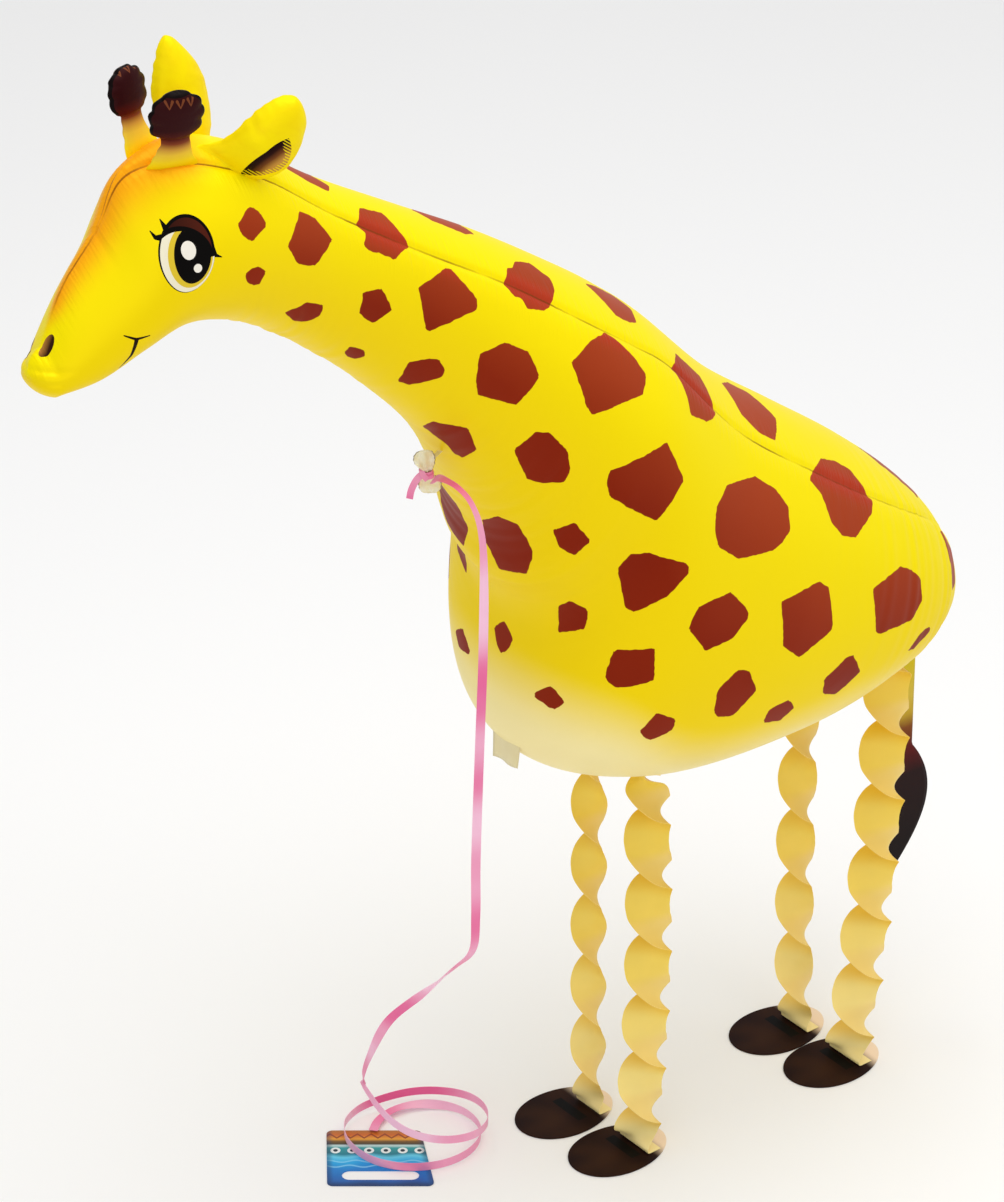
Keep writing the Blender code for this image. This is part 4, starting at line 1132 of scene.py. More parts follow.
def horn_foil():
    """Yellow stem that burns down to a dark red-brown tuft with a black rim and small flames."""
    material, tree, shader, u, v, yellow = lobe_material("horn_foil")
    burn = colour_band(tree, v, 6.0, 32.0, (
        (0.0, (246, 222, 44)), (0.28, (236, 198, 62)), (0.45, (204, 150, 60)), (0.6, (130, 62, 34)),
        (0.72, (84, 20, 18)), (1.0, (50, 13, 15))))
    colour = mix_colours(tree, ramp(tree, v, 2.0, 9.0), yellow, burn)
    flames = strokes(tree, u, v, [((middle + side * 1.9, 51.0), (middle, 46.8), 0.8, 0.25)
                                  for middle in (-6.0, 0.4, 6.8) for side in (-1, 1)])
    colour = mix_colours(tree, flames, colour, ink(116, 62, 36))
    edge = times(tree, inside(tree, stored(tree, "rim"), BLACK_RIM),
                 calculate(tree, "GREATER_THAN", v, 25.5))
    edge = calculate(tree, "MAXIMUM", edge, calculate(tree, "GREATER_THAN", v, 52.6))
    colour = mix_colours(tree, edge, colour, ink(16, 7, 7))
    tree.links.new(colour, shader.inputs["Base Color"])
    return material


# the ear's printed hollow lies between two arcs: middle and radius of each
HOLLOW_UPPER = ((30.1, 16.2), 27.2)
HOLLOW_LOWER = ((1.7, 16.2), 17.7)
HOLLOW_TIP = (7.4, 32.6)
HOLLOW_FOOT = (9.4, -0.2)
HAIR_SPACING = 0.8
LONGEST_HAIR = 8.0
HAIR_STRENGTH = 0.75


def ear_foil():
    """Yellow ear with a dark leaf-shaped hollow on its outer side, hatched along its lower edge."""
    material, tree, shader, u, v, yellow = lobe_material("ear_foil")
    from_upper = calculate(tree, "SUBTRACT", HOLLOW_UPPER[1],
                           face_ellipse(tree, u, v, HOLLOW_UPPER[0], (1.0, 1.0), 0))
    from_lower = calculate(tree, "SUBTRACT", HOLLOW_LOWER[1],
                           face_ellipse(tree, u, v, HOLLOW_LOWER[0], (1.0, 1.0), 0))
    reach = (HOLLOW_TIP[0] - HOLLOW_FOOT[0], HOLLOW_TIP[1] - HOLLOW_FOOT[1])
    along = calculate(tree, "ADD", times(tree, u, reach[0] / math.hypot(*reach)),
                      times(tree, v, reach[1] / math.hypot(*reach)))
    leaf = times(tree, calculate(tree, "GREATER_THAN", from_upper, 0.0),
                 calculate(tree, "GREATER_THAN", from_lower, 0.0))
    # pale hairs reach in from the lower edge, each of its own length
    line = add_node(tree, "ShaderNodeCombineXYZ", {0: along})
    hair_length = add_node(tree, "ShaderNodeTexNoise", {"Vector": line.outputs[0], "Scale": 0.9})
    gap = calculate(tree, "GREATER_THAN", calculate(tree, "PINGPONG", along, HAIR_SPACING), 0.45)
    short = inside(tree, from_lower, times(tree, hair_length.outputs["Fac"], LONGEST_HAIR))
    hair = times(tree, gap, short)
    leaf = times(tree, leaf, calculate(tree, "SUBTRACT", 1.0, times(tree, hair, HAIR_STRENGTH)))
    leaf = times(tree, leaf, calculate(tree, "LESS_THAN", stored(tree, "side"), 0.0))
    hollow = colour_band(tree, from_upper, 0.0, 11.0, (
        (0.0, (20, 6, 5)), (0.3, (44, 16, 10)), (0.6, (112, 62, 26)), (1.0, (196, 142, 60))))
    colour = mix_colours(tree, leaf, yellow, hollow)
    tree.links.new(colour, shader.inputs["Base Color"])
    return material


horn_print = horn_foil()
for number, (name, placing) in enumerate(HORNS.items()):
    lobe_mesh(name, lobe_frame(*placing), np.array(HORN_EDGES) * HORN_SIZES[name],
              HORN_HALF_THICKNESS, horn_print, 31 + number, scallop=TUFT_SCALLOP_DEPTH)
ear_print = ear_foil()
for number, (name, placing) in enumerate(EARS.items()):
    lobe_mesh(name, lobe_frame(*placing), EAR_EDGES[name], EAR_HALF_THICKNESS, ear_print,
              41 + number)


# ---------------------------------------------------------------------------------------------
# Film tab: a loose end of thin cream foil, left over from the sheet that the gusset under the
# chest is cut from.  It is part of the skin and sticks down where the chest meets the belly.
TAB_CENTRE = (1, -179.5, 335)
TAB_SIZE = (29, 32)
TAB_THICKNESS = 0.25
TAB_ROWS = 14
TAB_COLUMNS = 12


def sheet_faces(rows, columns):
    """Quads of an open grid of points."""
    return [(i * columns + j, i * columns + j + 1, (i + 1) * columns + j + 1,
             (i + 1) * columns + j) for i in range(rows - 1) for j in range(columns - 1)]


def cream_film():
    """Cream foil with faint clouds."""
    material, tree, shader = new_material("cream_film", 0.4)
    place = add_node(tree, "ShaderNodeTexCoord").outputs["Object"]
    cloud = add_node(tree, "ShaderNodeTexNoise", {"Vector": place, "Scale": 40.0})
    colour = mix_colours(tree, cloud.outputs["Fac"], ink(228, 212, 150), ink(246, 236, 196))
    tree.links.new(colour, shader.inputs["Base Color"])
    return material


v, u = np.meshgrid(np.linspace(0, 1, TAB_ROWS), np.linspace(-1, 1, TAB_COLUMNS), indexing="ij")
tab_x = TAB_CENTRE[0] + u * TAB_SIZE[0] / 2 * (1 - 0.12 * v)
tab_y = TAB_CENTRE[1] - 1.2 * np.sin(3 * u) * v - 1.5 * v ** 2
tab_z = TAB_CENTRE[2] + TAB_SIZE[1] / 2 - v * TAB_SIZE[1] + 1.5 * u * v
front = np.stack([tab_x, tab_y, tab_z], axis=2).reshape(-1, 3)
faces = sheet_faces(TAB_ROWS, TAB_COLUMNS)
tab = new_piece("film_tab", front, faces, cream_film())
thicken(tab, TAB_THICKNESS)
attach(tab, "root")
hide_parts("balloon")


# ---------------------------------------------------------------------------------------------
# Legs: four strips of crisp yellow paper, twisted half a turn at a time, so that they look like
# a chain of soft cones.  Each ends in a flat tab glued to the belly and another on its foot.
STRIP_THICKNESS = 0.4
STRIP_COLUMNS = 12
STRIP_TAB = 11
STRIP_STEP = 0.6
FOLD_HEIGHT = 5.5  # height over which the strip bends up from its glued end
TOP_HEIGHT = 8  # length over which it settles against the belly
STRIP_BEND = 2.5
BELLY_CLEARANCE = 1.3
FACING = math.radians(52)  # the way across a strip at the middle of each half turn
# one half turn from a fold up to the next one: share of it, degrees turned, and how far the
# strip lies aside in half widths
HALF_TURN = ((0, 65, 0.62), (0.12, 45, 0.34), (0.30, 18, 0.05), (0.50, 0, -0.02),
             (0.68, -16, 0.04), (0.82, -36, 0.22), (0.93, -62, 0.56), (1, -115, 0.62))
EVEN_START = 80  # degrees turned at a fold by an even twist
FOLD_SOFTNESS = 1.1
ASIDE_SOFTNESS = 1.6
GLUE_THICKNESS = 0.3
FOOT_TOP = 1.2
FOOT_HALF_LENGTH = 36
HEEL_TO_STRIP = 29
# foot centre; where the strip leaves it, to the right; where it meets the belly; bow to the
# right; half width; length of a half turn and its growth; where the first fold lies; how far
# the folds lie aside as a share of the table's; how much of the twist keeps to the table, the
# rest being even
LEGS = {
    "front_left": ((20, -102), 5, (20.2, -85.4), 5.5, 14.4, 42, 0.0256, 0.377, 1.12, 1.0),
    "front_right": ((-35, -103), 10, (-30.2, -87.8), 0, 11.8, 46.4, 0.001, 0.44, 0.8, 0.3),
    "rear_left": ((29, 75), 3, (27.4, 112.2), 5, 15, 43, 0.0153, 0.421, 1.12, 1.0),
    "rear_right": ((-23, 71), 6, (-21.2, 83.4), -2, 13, 48.2, 0.001, 0.516, 0.9, 0.55),
}


def softened(values, width):
    """Values smoothed over a width in samples; the ends keep their own values."""
    reach = int(3 * width) + 1
    weights = np.exp(-0.5 * (np.arange(-reach, reach + 1) / width) ** 2)
    padded = np.concatenate([np.full(reach, values[0]), values, np.full(reach, values[-1])])
    return np.convolve(padded, weights / weights.sum(), mode="valid")


def leg_piece(name, foot, shift, belly, bow, half_width, half_turn, growth, start, fold_aside,
              folded):
    """One strip from its tab on the foot to its tab on the belly."""
    base = np.array((foot[0] + shift * math.cos(FACING),
                     foot[1] + shift * math.sin(FACING) + FOOT_HALF_LENGTH - HEEL_TO_STRIP,
                     FOOT_TOP + GLUE_THICKNESS + STRIP_THICKNESS / 2))
    hit, out, _, _ = balloon_tree.ray_cast(world_point((*belly, 100)), Vector((0, 0, 1)))
    out = np.array(out)
    head = (np.array(hit) - np.array(LAYOUT_POINT)) / MM + out * BELLY_CLEARANCE
    climb = head[2] - base[2] - 2 * STRIP_BEND
    heights = np.linspace(0, climb, int(climb / STRIP_STEP) + 1)
    half_turns = start + np.log(1 + heights * growth / half_turn) / growth
    phase = np.mod(half_turns, 1)
    places, degrees, sides = zip(*HALF_TURN)
    even = EVEN_START - 180 * phase
    turn = even + (np.interp(phase, places, degrees) - even) * folded - np.floor(half_turns) * 180
    turn = np.radians(softened(turn, FOLD_SOFTNESS / STRIP_STEP))
    aside = softened(np.interp(phase, places, sides), ASIDE_SOFTNESS / STRIP_STEP) * fold_aside
    to_right = np.array((math.cos(FACING), math.sin(FACING), 0))
    tab_way = unit(to_right - out * (to_right @ out))
    top_across = np.cross(tab_way, out)
    depth_way = np.array((-to_right[1], to_right[0], 0))
    if math.sin(turn[-1]) * (top_across @ depth_way) < 0:
        top_across = -top_across
    rows = [(base + np.array((0, back, rise)), 0.0, 0.0, 0.5, 1.0, (1, 0, 0))
            for back, rise in ((STRIP_TAB, 0), (6, 0), (STRIP_BEND, 0), (1.2, 0.15), (0.6, 0.5),
                               (0.15, 1.3))]
    for height, angle, beside, part in zip(heights, turn, aside, half_turns):
        share = height / (head[2] - base[2])
        centre = base + (head - base) * share + to_right * bow * 4 * share * (1 - share)
        centre[2] = base[2] + STRIP_BEND + height
        low_hold = math.exp(-(height / FOLD_HEIGHT) ** 2)
        top_hold = math.exp(-((climb - height) / TOP_HEIGHT) ** 2)
        held_across = (1, 0, 0) if low_hold > top_hold else top_across
        held = max(low_hold, top_hold)
        rows.append((centre, angle, beside * (1 - held), part, held, held_across))
    for reach in (STRIP_BEND, STRIP_TAB):
        rows.append((head + tab_way * reach, turn[-1], 0.0, half_turns[-1], 1.0, top_across))
    centres, turn, aside, phase, held, held_across = (np.array(values) for values in zip(*rows))
    return strip_along("strip_" + name, centres, held_across, paper, STRIP_THICKNESS, half_width,
                       held=held, turn=turn, aside=aside, phase=phase, columns=STRIP_COLUMNS,
                       facing=FACING)


def paper_grain_group():
    """Grain of paper and card: a fine tooth with faint clouds in the pulp."""
    group, given, result = shader_group(
        "paper_grain",
        (("Vector", "NodeSocketVector", None), ("Colour", "NodeSocketColor", None),
         ("Tooth", "NodeSocketFloat", 900.0), ("Clouds", "NodeSocketFloat", 60.0),
         ("Depth", "NodeSocketFloat", 0.06)),
        (("Colour", "NodeSocketColor"), ("Normal", "NodeSocketVector")))
    tooth = add_node(group, "ShaderNodeTexNoise", {"Vector": given["Vector"], "Detail": 2.0,
                                                   "Scale": given["Tooth"]})
    pulp = add_node(group, "ShaderNodeTexNoise", {"Vector": given["Vector"], "Detail": 3.0,
                                                  "Scale": given["Clouds"]})
    light = add_node(group, "ShaderNodeMapRange", {"Value": pulp.outputs["Fac"], "From Min": 0.3,
                                                   "From Max": 0.7, "To Min": 0.96, "To Max": 1.0})
    shaded = add_node(group, "ShaderNodeHueSaturation", {"Color": given["Colour"],
                                                         "Value": light.outputs["Result"]})
    bump = add_node(group, "ShaderNodeBump", {"Height": tooth.outputs["Fac"],
                                              "Strength": given["Depth"], "Distance": 0.0003})
    group.links.new(shaded.outputs[0], result["Colour"])
    group.links.new(bump.outputs[0], result["Normal"])
    return group


paper_grain = paper_grain_group()


def grained(tree, shader, colour, depth):
    """Give a shader a colour with the grain of paper."""
    place = add_node(tree, "ShaderNodeTexCoord").outputs["Object"]
    made = add_node(tree, "ShaderNodeGroup", {"Vector": place, "Colour": colour, "Depth": depth},
                    node_tree=paper_grain)
    tree.links.new(made.outputs["Colour"], shader.inputs["Base Color"])
    tree.links.new(made.outputs["Normal"], shader.inputs["Normal"])


def strip_paper():
    """Crisp yellow paper with painted shade, deeper where each half turn tucks under the one above it,
    and a paler painted band where it turns.
    """
    material, tree, shader = new_material("strip_paper", 0.5)
    shader.inputs["Sheen Weight"].default_value = 0.1
    phase = calculate(tree, "FRACT", stored(tree, "phase"))
    high = colour_band(tree, stored(tree, "reach"), 0.0, 360.0, (
        (0.0, (255, 236, 164)), (0.15, (255, 230, 136)), (0.4, (252, 220, 92)),
        (1.0, (246, 208, 48))))
    # painted shade: deeper yellow where each half turn tucks under the one above it
    painted_tuck_shade = times(tree, ramp(tree, phase, 0.58, 0.88, smooth=True), ramp(tree, phase, 0.97, 0.91))
    colour = mix_colours(tree, times(tree, painted_tuck_shade, 0.75), high, ink(242, 192, 12))
    # painted light and shade: a paler, duller band where the strip turns its other face out
    band = calculate(tree, "MAXIMUM", ramp(tree, phase, 0.34, 0.14, smooth=True),
                     ramp(tree, phase, 0.93, 0.98))
    colour = mix_colours(tree, times(tree, band, 0.6), colour, ink(250, 214, 124))
    grained(tree, shader, colour, 0.06)
    return material


balloon_mesh = bmesh.new()
balloon_mesh.from_mesh(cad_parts["balloon"].data)
balloon_tree = BVHTree.FromBMesh(balloon_mesh)
balloon_mesh.free()
paper = strip_paper()
for name, sizes in LEGS.items():
    leg = leg_piece(name, *sizes)
    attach(leg, "root")
    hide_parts("leg_" + name)


# ---------------------------------------------------------------------------------------------
# Feet: oval cards, dark brown above, that fade to cream at the heel; a black patch lies in
# front of the place where the strip is glued on.
FOOT_HALF_WIDTH = 25.5
FOOT_SIDES = 120
FOOT_BEVEL = 0.25
CARD_EDGE_ANGLE = 30
TOE_NARROWING = 0.07
HEEL_FADE = (14.0, 27.0)
PATCH = (0.6, 8.0, 14.0)  # where it starts and ends along the foot, and its half width


def foot_card():
    """Card printed dark brown with a cream heel; a black patch lies just before the strip."""
    material, tree, shader = new_material("foot_card", 0.6)
    shader.inputs["Specular IOR Level"].default_value = 0.1
    flat, u, v = flat_place(tree, "sole")
    cloud = add_node(tree, "ShaderNodeTexNoise", {"Vector": flat, "Scale": 30.0, "Detail": 1.0})
    brown = mix_colours(tree, ramp(tree, cloud.outputs["Fac"], 0.35, 0.7), ink(26, 5, 5),
                        ink(52, 27, 10))
    heel = ramp(tree, v, *HEEL_FADE, smooth=True)
    colour = mix_colours(tree, heel, brown, ink(250, 226, 196))
    patch = times(tree, times(tree, calculate(tree, "GREATER_THAN", v, PATCH[0]),
                              inside(tree, v, PATCH[1])),
                  inside(tree, calculate(tree, "ABSOLUTE", u), PATCH[2]))
    colour = mix_colours(tree, patch, colour, ink(6, 4, 4))
    grained(tree, shader, colour, 0.04)
    return material


card = foot_card()
turn = 2 * np.pi * np.arange(FOOT_SIDES) / FOOT_SIDES
toe = 1 - TOE_NARROWING * np.sin(turn)
outline = np.stack([FOOT_HALF_WIDTH * np.cos(turn) * toe, FOOT_HALF_LENGTH * np.sin(turn)], axis=1)
levels = ((0, -FOOT_BEVEL), (FOOT_BEVEL, 0), (FOOT_TOP - FOOT_BEVEL, 0), (FOOT_TOP, -FOOT_BEVEL))
flats = np.vstack([outline * (1 + inset / FOOT_HALF_WIDTH) for _, inset in levels])
heights = np.repeat([level for level, _ in levels], FOOT_SIDES)
faces = ring_faces(len(levels), FOOT_SIDES)
faces.append(tuple(range(FOOT_SIDES))[::-1])
faces.append(tuple((len(levels) - 1) * FOOT_SIDES + j for j in range(FOOT_SIDES)))
for name, sizes in LEGS.items():
    points = np.column_stack([flats + np.array(sizes[0]), heights])
    foot = new_piece("card_foot_" + name, points, faces, card, CARD_EDGE_ANGLE)
    turn_outward(foot)
    lay_flat(foot, "sole", flats)
    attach(foot, "root")
    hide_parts("foot_" + name)


# ---------------------------------------------------------------------------------------------
# Tail: a flat strip of card, printed yellow at the top and nearly black in its curved tuft.
# It is stuck to the underside of the rump and hangs straight down.
TAIL_HALF_WIDTH = 11.5
TAIL_Y = 151
TAIL_TUFT_TOP = 203
TAIL_TIP = 109
TAIL_THICKNESS = 0.5
TUFT_HALF_WIDTH = 19
TUFT_BULGE = 10
TUFT_TIP_SHIFT = -5
TAIL_CLEARANCE = 0.6
TAIL_ROWS = 90
TAIL_COLUMNS = 12
TAIL_FADE = (130.0, 300.0)  # heights between which its colour changes
TAIL_UNEVENNESS = 8.0
SMALLEST_ROW = 0.05  # rows cut off by the rump are left out below this height
SMALLEST_END = 0.0004


def tail_card():
    """Card that goes from the tuft's near black through red-brown to yellow."""
    material, tree, shader = new_material("tail_card", 0.55)
    shader.inputs["Specular IOR Level"].default_value = 0.12
    place = add_node(tree, "ShaderNodeTexCoord").outputs["Object"]
    z = times(tree, add_node(tree, "ShaderNodeSeparateXYZ", {0: place}).outputs[2], 1000.0)
    cloud = add_node(tree, "ShaderNodeTexNoise", {"Vector": place, "Scale": 45.0})
    uneven = calculate(tree, "SUBTRACT", cloud.outputs["Fac"], 0.5)
    level = calculate(tree, "ADD", z, times(tree, uneven, TAIL_UNEVENNESS))
    colour = colour_band(tree, level, *TAIL_FADE, (
        (0.0, (18, 4, 4)), (0.3, (34, 6, 6)), (0.43, (96, 12, 8)), (0.52, (132, 74, 24)),
        (0.58, (200, 166, 44)), (0.66, (216, 188, 70)), (0.8, (218, 194, 24))))
    grained(tree, shader, colour, 0.04)
    return material


tail_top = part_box("tail")[1].z / MM
rows = []
for i in range(TAIL_ROWS + 1):
    z = tail_top + (TAIL_TIP - tail_top) * i / TAIL_ROWS
    if z > TAIL_TUFT_TOP:
        front, back = -TAIL_HALF_WIDTH, TAIL_HALF_WIDTH
    else:
        down = (TAIL_TUFT_TOP - z) / (TAIL_TUFT_TOP - TAIL_TIP)
        middle = TUFT_BULGE * math.sin(math.pi * down) + TUFT_TIP_SHIFT * down ** 2
        swell = (TUFT_HALF_WIDTH - TAIL_HALF_WIDTH) * math.sin(math.pi * down ** 0.8)
        reach = (TAIL_HALF_WIDTH + swell) * math.sqrt(max(1 - down ** 3, SMALLEST_END))
        front, back = middle - reach, middle + reach
    for j in range(TAIL_COLUMNS + 1):
        y = front + (back - front) * j / TAIL_COLUMNS
        top = z
        hit = balloon_tree.ray_cast(world_point((0, TAIL_Y + y, 100)), Vector((0, 0, 1)))[0]
        if hit is not None:
            top = min(z, hit.z / MM - TAIL_CLEARANCE)
        rows.append((0.0, TAIL_Y + y, top))
faces = [(a, b, c, d) for a, b, c, d in sheet_faces(TAIL_ROWS + 1, TAIL_COLUMNS + 1)
         if max(rows[a][2] - rows[d][2], rows[b][2] - rows[c][2]) > SMALLEST_ROW]
tail = new_piece("tail_strip", rows, faces, tail_card())
bm = bmesh.new()
bm.from_mesh(tail.data)
bmesh.ops.delete(bm, geom=[v for v in bm.verts if not v.link_faces], context="VERTS")
bmesh.ops.remove_doubles(bm, verts=bm.verts, dist=0.00002)
bm.to_mesh(tail.data)
bm.free()
thicken(tail, TAIL_THICKNESS)
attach(tail, "root")
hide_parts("tail")


# ---------------------------------------------------------------------------------------------
# Valve tail: the end of the filling valve, soft film that the ribbon gathers into two crumpled
# lobes in front of the chest; a flat neck joins it to the balloon.
VALVE_KNOT = (12, -248.5, 552.5)
VALVE_AXIS = (8, -8, 30)
VALVE_ACROSS = (0.616, 0.788, 0)
# height above the knot, half width, half thickness, shift across
VALVE_RINGS = ((-18.5, 1.6, 0.3, 0.6), (-17.6, 4.6, 0.9, 0.6), (-15, 6.4, 1.5, 0.7),
               (-11, 7.0, 1.8, 0.8), (-7, 6.6, 1.9, 0.8), (-4, 5.0, 1.7, 0.4), (-2, 2.8, 1.5, 0),
               (0, 2.0, 1.4, 0), (2, 2.4, 1.5, -0.2), (4.5, 4.2, 1.8, -0.6), (8, 5.9, 2.1, -1.2),
               (12, 6.6, 2.0, -1.4), (16, 6.2, 1.6, -1.2), (19, 4.6, 1.0, -0.6),
               (20.6, 1.8, 0.3, 0))
VALVE_ROWS = 70
VALVE_SIDES = 72
VALVE_NECK = 3.4  # width of the flat neck
NECK_THICKNESS = 0.5
NECK_HEIGHT = 3.5  # above the knot, where the neck leaves the upper lobe
NECK_POINTS = 14
VALVE_EDGE_ANGLE = 60
VALVE_CRUMPLES = (3.1, 4.7, 6.3)
PLEATS = 9
PLEAT_DEPTH = 0.22
RIM_FADE = 8  # length over which the painted shade at each end fades


def valve_film():
    """Soft cream film, a little clear, with painted shade that greys it along its edges and at its
    ends.
    """
    material, tree, shader = new_material("valve_film", 0.3, Transmission_Weight=0.12)
    place = add_node(tree, "ShaderNodeTexCoord").outputs["Object"]
    cloud = add_node(tree, "ShaderNodeTexNoise", {"Vector": place, "Scale": 150.0, "Detail": 1.0})
    colour = mix_colours(tree, ramp(tree, cloud.outputs["Fac"], 0.35, 0.65), ink(255, 250, 214),
                         ink(244, 228, 172))
    # painted shade: the film greys towards its edges, where it turns away, and towards its ends
    rim = ramp(tree, stored(tree, "rim"), 0.86, 0.99, smooth=True)
    colour = mix_colours(tree, rim, colour, ink(150, 136, 104))
    crumple = add_node(tree, "ShaderNodeTexNoise", {"Vector": place, "Scale": 420.0})
    bump = add_node(tree, "ShaderNodeBump", {"Height": crumple.outputs["Fac"], "Strength": 0.3,
                                             "Distance": 0.0004})
    tree.links.new(colour, shader.inputs["Base Color"])
    tree.links.new(bump.outputs[0], shader.inputs["Normal"])
    return material


valve_base, valve_x, valve_y, valve_z = lobe_frame(VALVE_KNOT, VALVE_AXIS, VALVE_ACROSS)
valve_rows = smooth_rows(VALVE_RINGS, np.linspace(0, len(VALVE_RINGS) - 1, VALVE_ROWS))
angle = 2 * np.pi * np.arange(VALVE_SIDES) / VALVE_SIDES
heights, half_widths, half_thickness, shift = (column[:, None] for column in valve_rows.T)
pleats = 1 + PLEAT_DEPTH * np.cos(PLEATS * angle + 0.05 * heights) * np.abs(np.sin(angle))
crumple = 0.35 * uneven_wave(half_widths * np.cos(angle) + 3 * heights / 7, VALVE_CRUMPLES, 61)
u = shift + half_widths * np.cos(angle) * (1 + 0.03 * np.sin(heights * 1.7))
w = half_thickness * np.sin(angle) * pleats + crumple * (half_widths / 8) * np.ones_like(angle)
grid = (valve_base + u[:, :, None] * valve_x + w[:, :, None] * valve_y
        + (heights * np.ones_like(angle))[:, :, None] * valve_z)
count = VALVE_ROWS * VALVE_SIDES
faces = ring_faces(VALVE_ROWS, VALVE_SIDES)
faces.append(tuple(range(VALVE_SIDES)))
faces.append(tuple(count - VALVE_SIDES + j for j in range(VALVE_SIDES)))
film = valve_film()
valve = new_piece("valve_lobes", grid.reshape(-1, 3), faces, film, VALVE_EDGE_ANGLE)
turn_outward(valve)
lowest, highest = VALVE_RINGS[0][0], VALVE_RINGS[-1][0]
# where the painted shade of the film lies: along its edges and at its ends
end_rim = np.clip(1 - np.minimum(heights - lowest, highest - heights) / RIM_FADE, 0, 1)
rim = np.maximum(np.abs(np.cos(angle)) * np.ones_like(heights), end_rim * np.ones_like(angle))
store(valve, "rim", np.where(half_widths > 3.5, rim, 0.3).ravel())
neck_start = valve_base + NECK_HEIGHT * valve_z - 1.5 * valve_x
nearest = balloon_tree.find_nearest(world_point(neck_start))[0]
chest_point = (np.array(nearest) - np.array(LAYOUT_POINT)) / MM
neck_line = even_path([neck_start, (neck_start + chest_point) / 2 + (0, 0, 1.0),
                       chest_point + 0.4 * unit(neck_start - chest_point)], NECK_POINTS)
neck = strip_along("valve_neck", neck_line, np.tile(valve_x, (NECK_POINTS, 1)), film,
                   NECK_THICKNESS, VALVE_NECK / 2)
for piece in (valve, neck):
    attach(piece, "root")
    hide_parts("valve_tail")


# ---------------------------------------------------------------------------------------------
# Ribbon knot: the first centimetres of the same satin ribbon, wound twice round the gathered
# film and tied over it, with a short end that hangs free.
KNOT_WIDTH = 4.6
# radius, height and tilt of each turn of the ribbon round the film
KNOT_TURNS = ((2.9, 0.7, 0.10), (3.3, -0.8, -0.14))
KNOT_POINTS = 48
SHORT_END = ((13, -252.5, 553.5), (11.4, -254.3, 551.5), (9.4, -256, 547.5), (7.6, -257.6, 541.5),
             (5.6, -257.4, 535))
END_FACING = (0.68, -0.53, 0.5)
TIE_LINE = ((9.6, -250.2, 556.0), (11.4, -252.6, 555.8), (13.6, -253.0, 553.0),
            (15.8, -251.6, 550.2))
KNOT_ENDS = (("short_end", SHORT_END, 2.1), ("knot_tie", TIE_LINE, 1.7))  # with half widths
END_POINTS = 24
TURN_THICKNESS = 0.35
END_THICKNESS = 0.3

pieces = []
for order, (radius, height, tilt) in enumerate(KNOT_TURNS):
    angle = np.linspace(0, 2 * np.pi * 0.985, KNOT_POINTS)
    ring = [valve_base + radius * (1 + 0.08 * math.cos(2 * a)) * (math.cos(a) * valve_x
            + math.sin(a) * valve_y) + (height + radius * tilt * math.cos(a)) * valve_z
            for a in angle]
    pieces.append(strip_along(f"knot_turn_{order}", np.array(ring),
                              np.tile(valve_z, (KNOT_POINTS, 1)), pink_satin, TURN_THICKNESS,
                              KNOT_WIDTH / 2 - 0.5 * order))
facing = np.array(END_FACING)
for name, points, half_width in KNOT_ENDS:
    line = even_path(points, END_POINTS)
    across = unit(np.cross(np.gradient(line, axis=0), facing))
    pieces.append(strip_along(name, line, across, pink_satin, END_THICKNESS, half_width))
for piece in pieces:
    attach(piece, "root")
    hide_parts("ribbon_knot")


# ---------------------------------------------------------------------------------------------
# Tag: a thin printed card with a slot, that lies on the floor and weighs down the ribbon's end.
# Its print is an invented one: bands of colour with a zigzag, dots and waves.
TAG_CENTRE = (-69.5, -232)
TAG_TURN = 52  # degrees on the floor
TAG_CORNERS = ((-32, -31), (38, -31), (28, 31), (-34, 31))
TAG_RADIUS = 4
TAG_THICKNESS = 0.8
TAG_BEVEL = 0.12
SLOT_CENTRE = (2.5, -19.5)
SLOT_SIZE = (50.5, 10.4)
ARC_STEPS = 10
TAG_EDGE_ANGLE = 30
# the print, in millimetres from the card's middle
TAG_HALF_HEIGHT = 31.0
TEETH_MIDDLE = 24.5
TEETH_HEIGHT = 4.5
TEETH_HALF_LINE = 0.9
DOTS_MIDDLE = 8.2
DOT_SPACING = 11.0
DOT_RADIUS = 3.3
DOT_EYE_RADIUS = 1.5
WAVES = ((-4.0, 0.0), (-9.5, 1.4))  # middle and phase of each line
WAVE_RATE = 0.34
WAVE_HEIGHT = 1.1
CARD_HALF_WIDTH = 33.0
LEFT_SLANT = 0.032
RIGHT_SLANT = 0.161
TAG_BANDS = ((0.0, (0, 62, 128)), (0.1, (0, 92, 176)), (0.3, (4, 126, 208)), (0.44, (20, 172, 234)),
             (0.52, (96, 206, 240)), (0.58, (16, 122, 140)), (0.68, (40, 156, 160)),
             (0.72, (196, 226, 226)), (0.75, (66, 52, 20)), (0.8, (120, 84, 24)),
             (0.84, (232, 160, 40)), (0.91, (206, 104, 20)), (1.0, (176, 110, 40)))


def arc(centre, radius, first, last):
    """Points on an arc between two directions in degrees."""
    angles = np.radians(np.linspace(first, last, ARC_STEPS))
    return [(centre[0] + radius * math.cos(a), centre[1] + radius * math.sin(a)) for a in angles]


def rounded_corners(corners, radius):
    """Outline through the corners, taken anticlockwise, with each of them rounded."""
    outline = []
    for i, corner in enumerate(corners):
        before = unit(np.subtract(corners[i - 1], corner))
        after = unit(np.subtract(corners[(i + 1) % len(corners)], corner))
        half = math.acos(float(before @ after)) / 2
        middle = np.array(corner) + unit(before + after) * radius / math.sin(half)
        first = math.degrees(math.atan2(before[0], -before[1]))
        sweep = 180 - math.degrees(2 * half)
        outline += arc(middle, radius, first, first + sweep)
    return outline


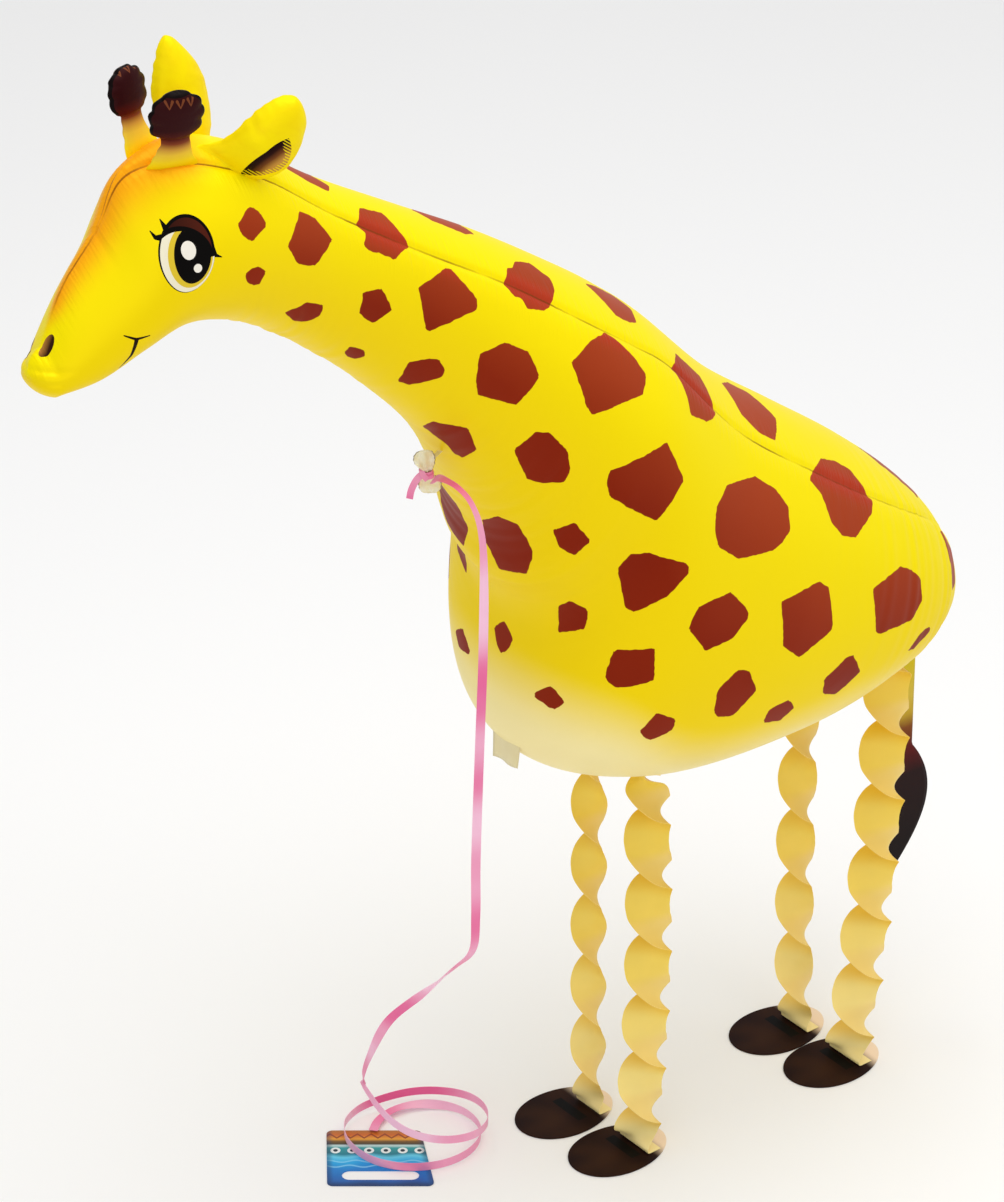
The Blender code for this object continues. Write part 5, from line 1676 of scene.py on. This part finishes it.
def printed_tag():
    """Glossy card with the invented print, a little deeper along its cut sides."""
    material, tree, shader = new_material("printed_card", 0.4)
    _, u, v = flat_place(tree, "print")
    # the lowest bands swell and sink a little
    swell = times(tree, calculate(tree, "SINE", times(tree, u, 0.21)), 1.3)
    level = calculate(tree, "ADD", v, times(tree, swell, ramp(tree, v, 12.0, 4.0)))
    colour = colour_band(tree, level, -TAG_HALF_HEIGHT, TAG_HALF_HEIGHT, TAG_BANDS)
    # a zigzag on the top band
    teeth = calculate(tree, "SUBTRACT", calculate(tree, "PINGPONG", u, TEETH_HEIGHT),
                      TEETH_HEIGHT / 2)
    above = calculate(tree, "SUBTRACT", v, TEETH_MIDDLE)
    from_teeth = calculate(tree, "ABSOLUTE", calculate(tree, "SUBTRACT", above, teeth))
    colour = mix_colours(tree, inside(tree, from_teeth, TEETH_HALF_LINE), colour,
                         ink(146, 62, 14))
    # a row of dots on the band below it
    along = calculate(tree, "MODULO", calculate(tree, "ADD", u, 6 * DOT_SPACING), DOT_SPACING)
    from_dot = distance_of(tree, calculate(tree, "SUBTRACT", along, DOT_SPACING / 2),
                           calculate(tree, "SUBTRACT", v, DOTS_MIDDLE))
    colour = mix_colours(tree, inside(tree, from_dot, DOT_RADIUS), colour, ink(232, 240, 240))
    colour = mix_colours(tree, inside(tree, from_dot, DOT_EYE_RADIUS), colour, ink(20, 44, 60))
    # light wave lines on the blue
    for middle, phase in WAVES:
        turn = calculate(tree, "ADD", times(tree, u, WAVE_RATE), phase)
        wave = times(tree, calculate(tree, "SINE", turn), WAVE_HEIGHT)
        above = calculate(tree, "SUBTRACT", v, middle)
        from_wave = calculate(tree, "ABSOLUTE", calculate(tree, "SUBTRACT", above, wave))
        share = times(tree, ramp(tree, from_wave, 1.1, 0.3), 0.6)
        colour = mix_colours(tree, share, colour, ink(150, 222, 250))
    # a deeper rim along the cut sides
    left_gap = calculate(tree, "ADD", u, calculate(tree, "ADD", CARD_HALF_WIDTH,
                                                   times(tree, v, LEFT_SLANT)))
    right_gap = calculate(tree, "SUBTRACT", calculate(tree, "SUBTRACT", CARD_HALF_WIDTH,
                                                      times(tree, v, RIGHT_SLANT)), u)
    low_gap = calculate(tree, "ADD", v, TAG_HALF_HEIGHT)
    gap = calculate(tree, "MINIMUM", calculate(tree, "MINIMUM", left_gap, right_gap), low_gap)
    share = times(tree, ramp(tree, gap, 5.0, 0.5, smooth=True), 0.55)
    colour = mix_colours(tree, share, colour, ink(10, 44, 84))
    grained(tree, shader, colour, 0.03)
    return material


half_slot = SLOT_SIZE[0] / 2 - SLOT_SIZE[1] / 2
slot_outline = (arc((SLOT_CENTRE[0] + half_slot, SLOT_CENTRE[1]), SLOT_SIZE[1] / 2, -90, 90)
                + arc((SLOT_CENTRE[0] - half_slot, SLOT_CENTRE[1]), SLOT_SIZE[1] / 2, 90, 270))
curve = bpy.data.curves.new("tag_plate", "CURVE")
curve.dimensions = "2D"
curve.fill_mode = "BOTH"
curve.extrude = (TAG_THICKNESS / 2 - TAG_BEVEL) * MM
curve.bevel_depth = TAG_BEVEL * MM
curve.offset = -TAG_BEVEL * MM
for outline in (rounded_corners(TAG_CORNERS, TAG_RADIUS), slot_outline):
    spline = curve.splines.new("POLY")
    spline.points.add(len(outline) - 1)
    for target, point in zip(spline.points, outline):
        target.co = (point[0] * MM, point[1] * MM, 0, 1)
    spline.use_cyclic_u = True
plate = bpy.data.objects.new("tag_plate", curve)
bpy.context.scene.collection.objects.link(plate)
plate_mesh = bpy.data.meshes.new_from_object(plate.evaluated_get(bpy.context.evaluated_depsgraph_get()))
bpy.data.objects.remove(plate)
plate_points = [v.co / MM for v in plate_mesh.vertices]
turned_by = math.radians(TAG_TURN)
placed = [(TAG_CENTRE[0] + p.x * math.cos(turned_by) - p.y * math.sin(turned_by),
           TAG_CENTRE[1] + p.x * math.sin(turned_by) + p.y * math.cos(turned_by),
           TAG_THICKNESS / 2 + p.z) for p in plate_points]
tag = new_piece("tag_card", placed, [tuple(f.vertices) for f in plate_mesh.polygons],
                printed_tag(), TAG_EDGE_ANGLE)
bm = bmesh.new()
bm.from_mesh(tag.data)
flat_layer = bm.loops.layers.uv.new("print")
for face in bm.faces:
    for loop in face.loops:
        loop[flat_layer].uv = [c * MM for c in plate_points[loop.vert.index][:2]]
bmesh.ops.remove_doubles(bm, verts=bm.verts, dist=0.00001)
bm.to_mesh(tag.data)
bm.free()
turn_outward(tag)
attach(tag, "root")
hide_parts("tag")
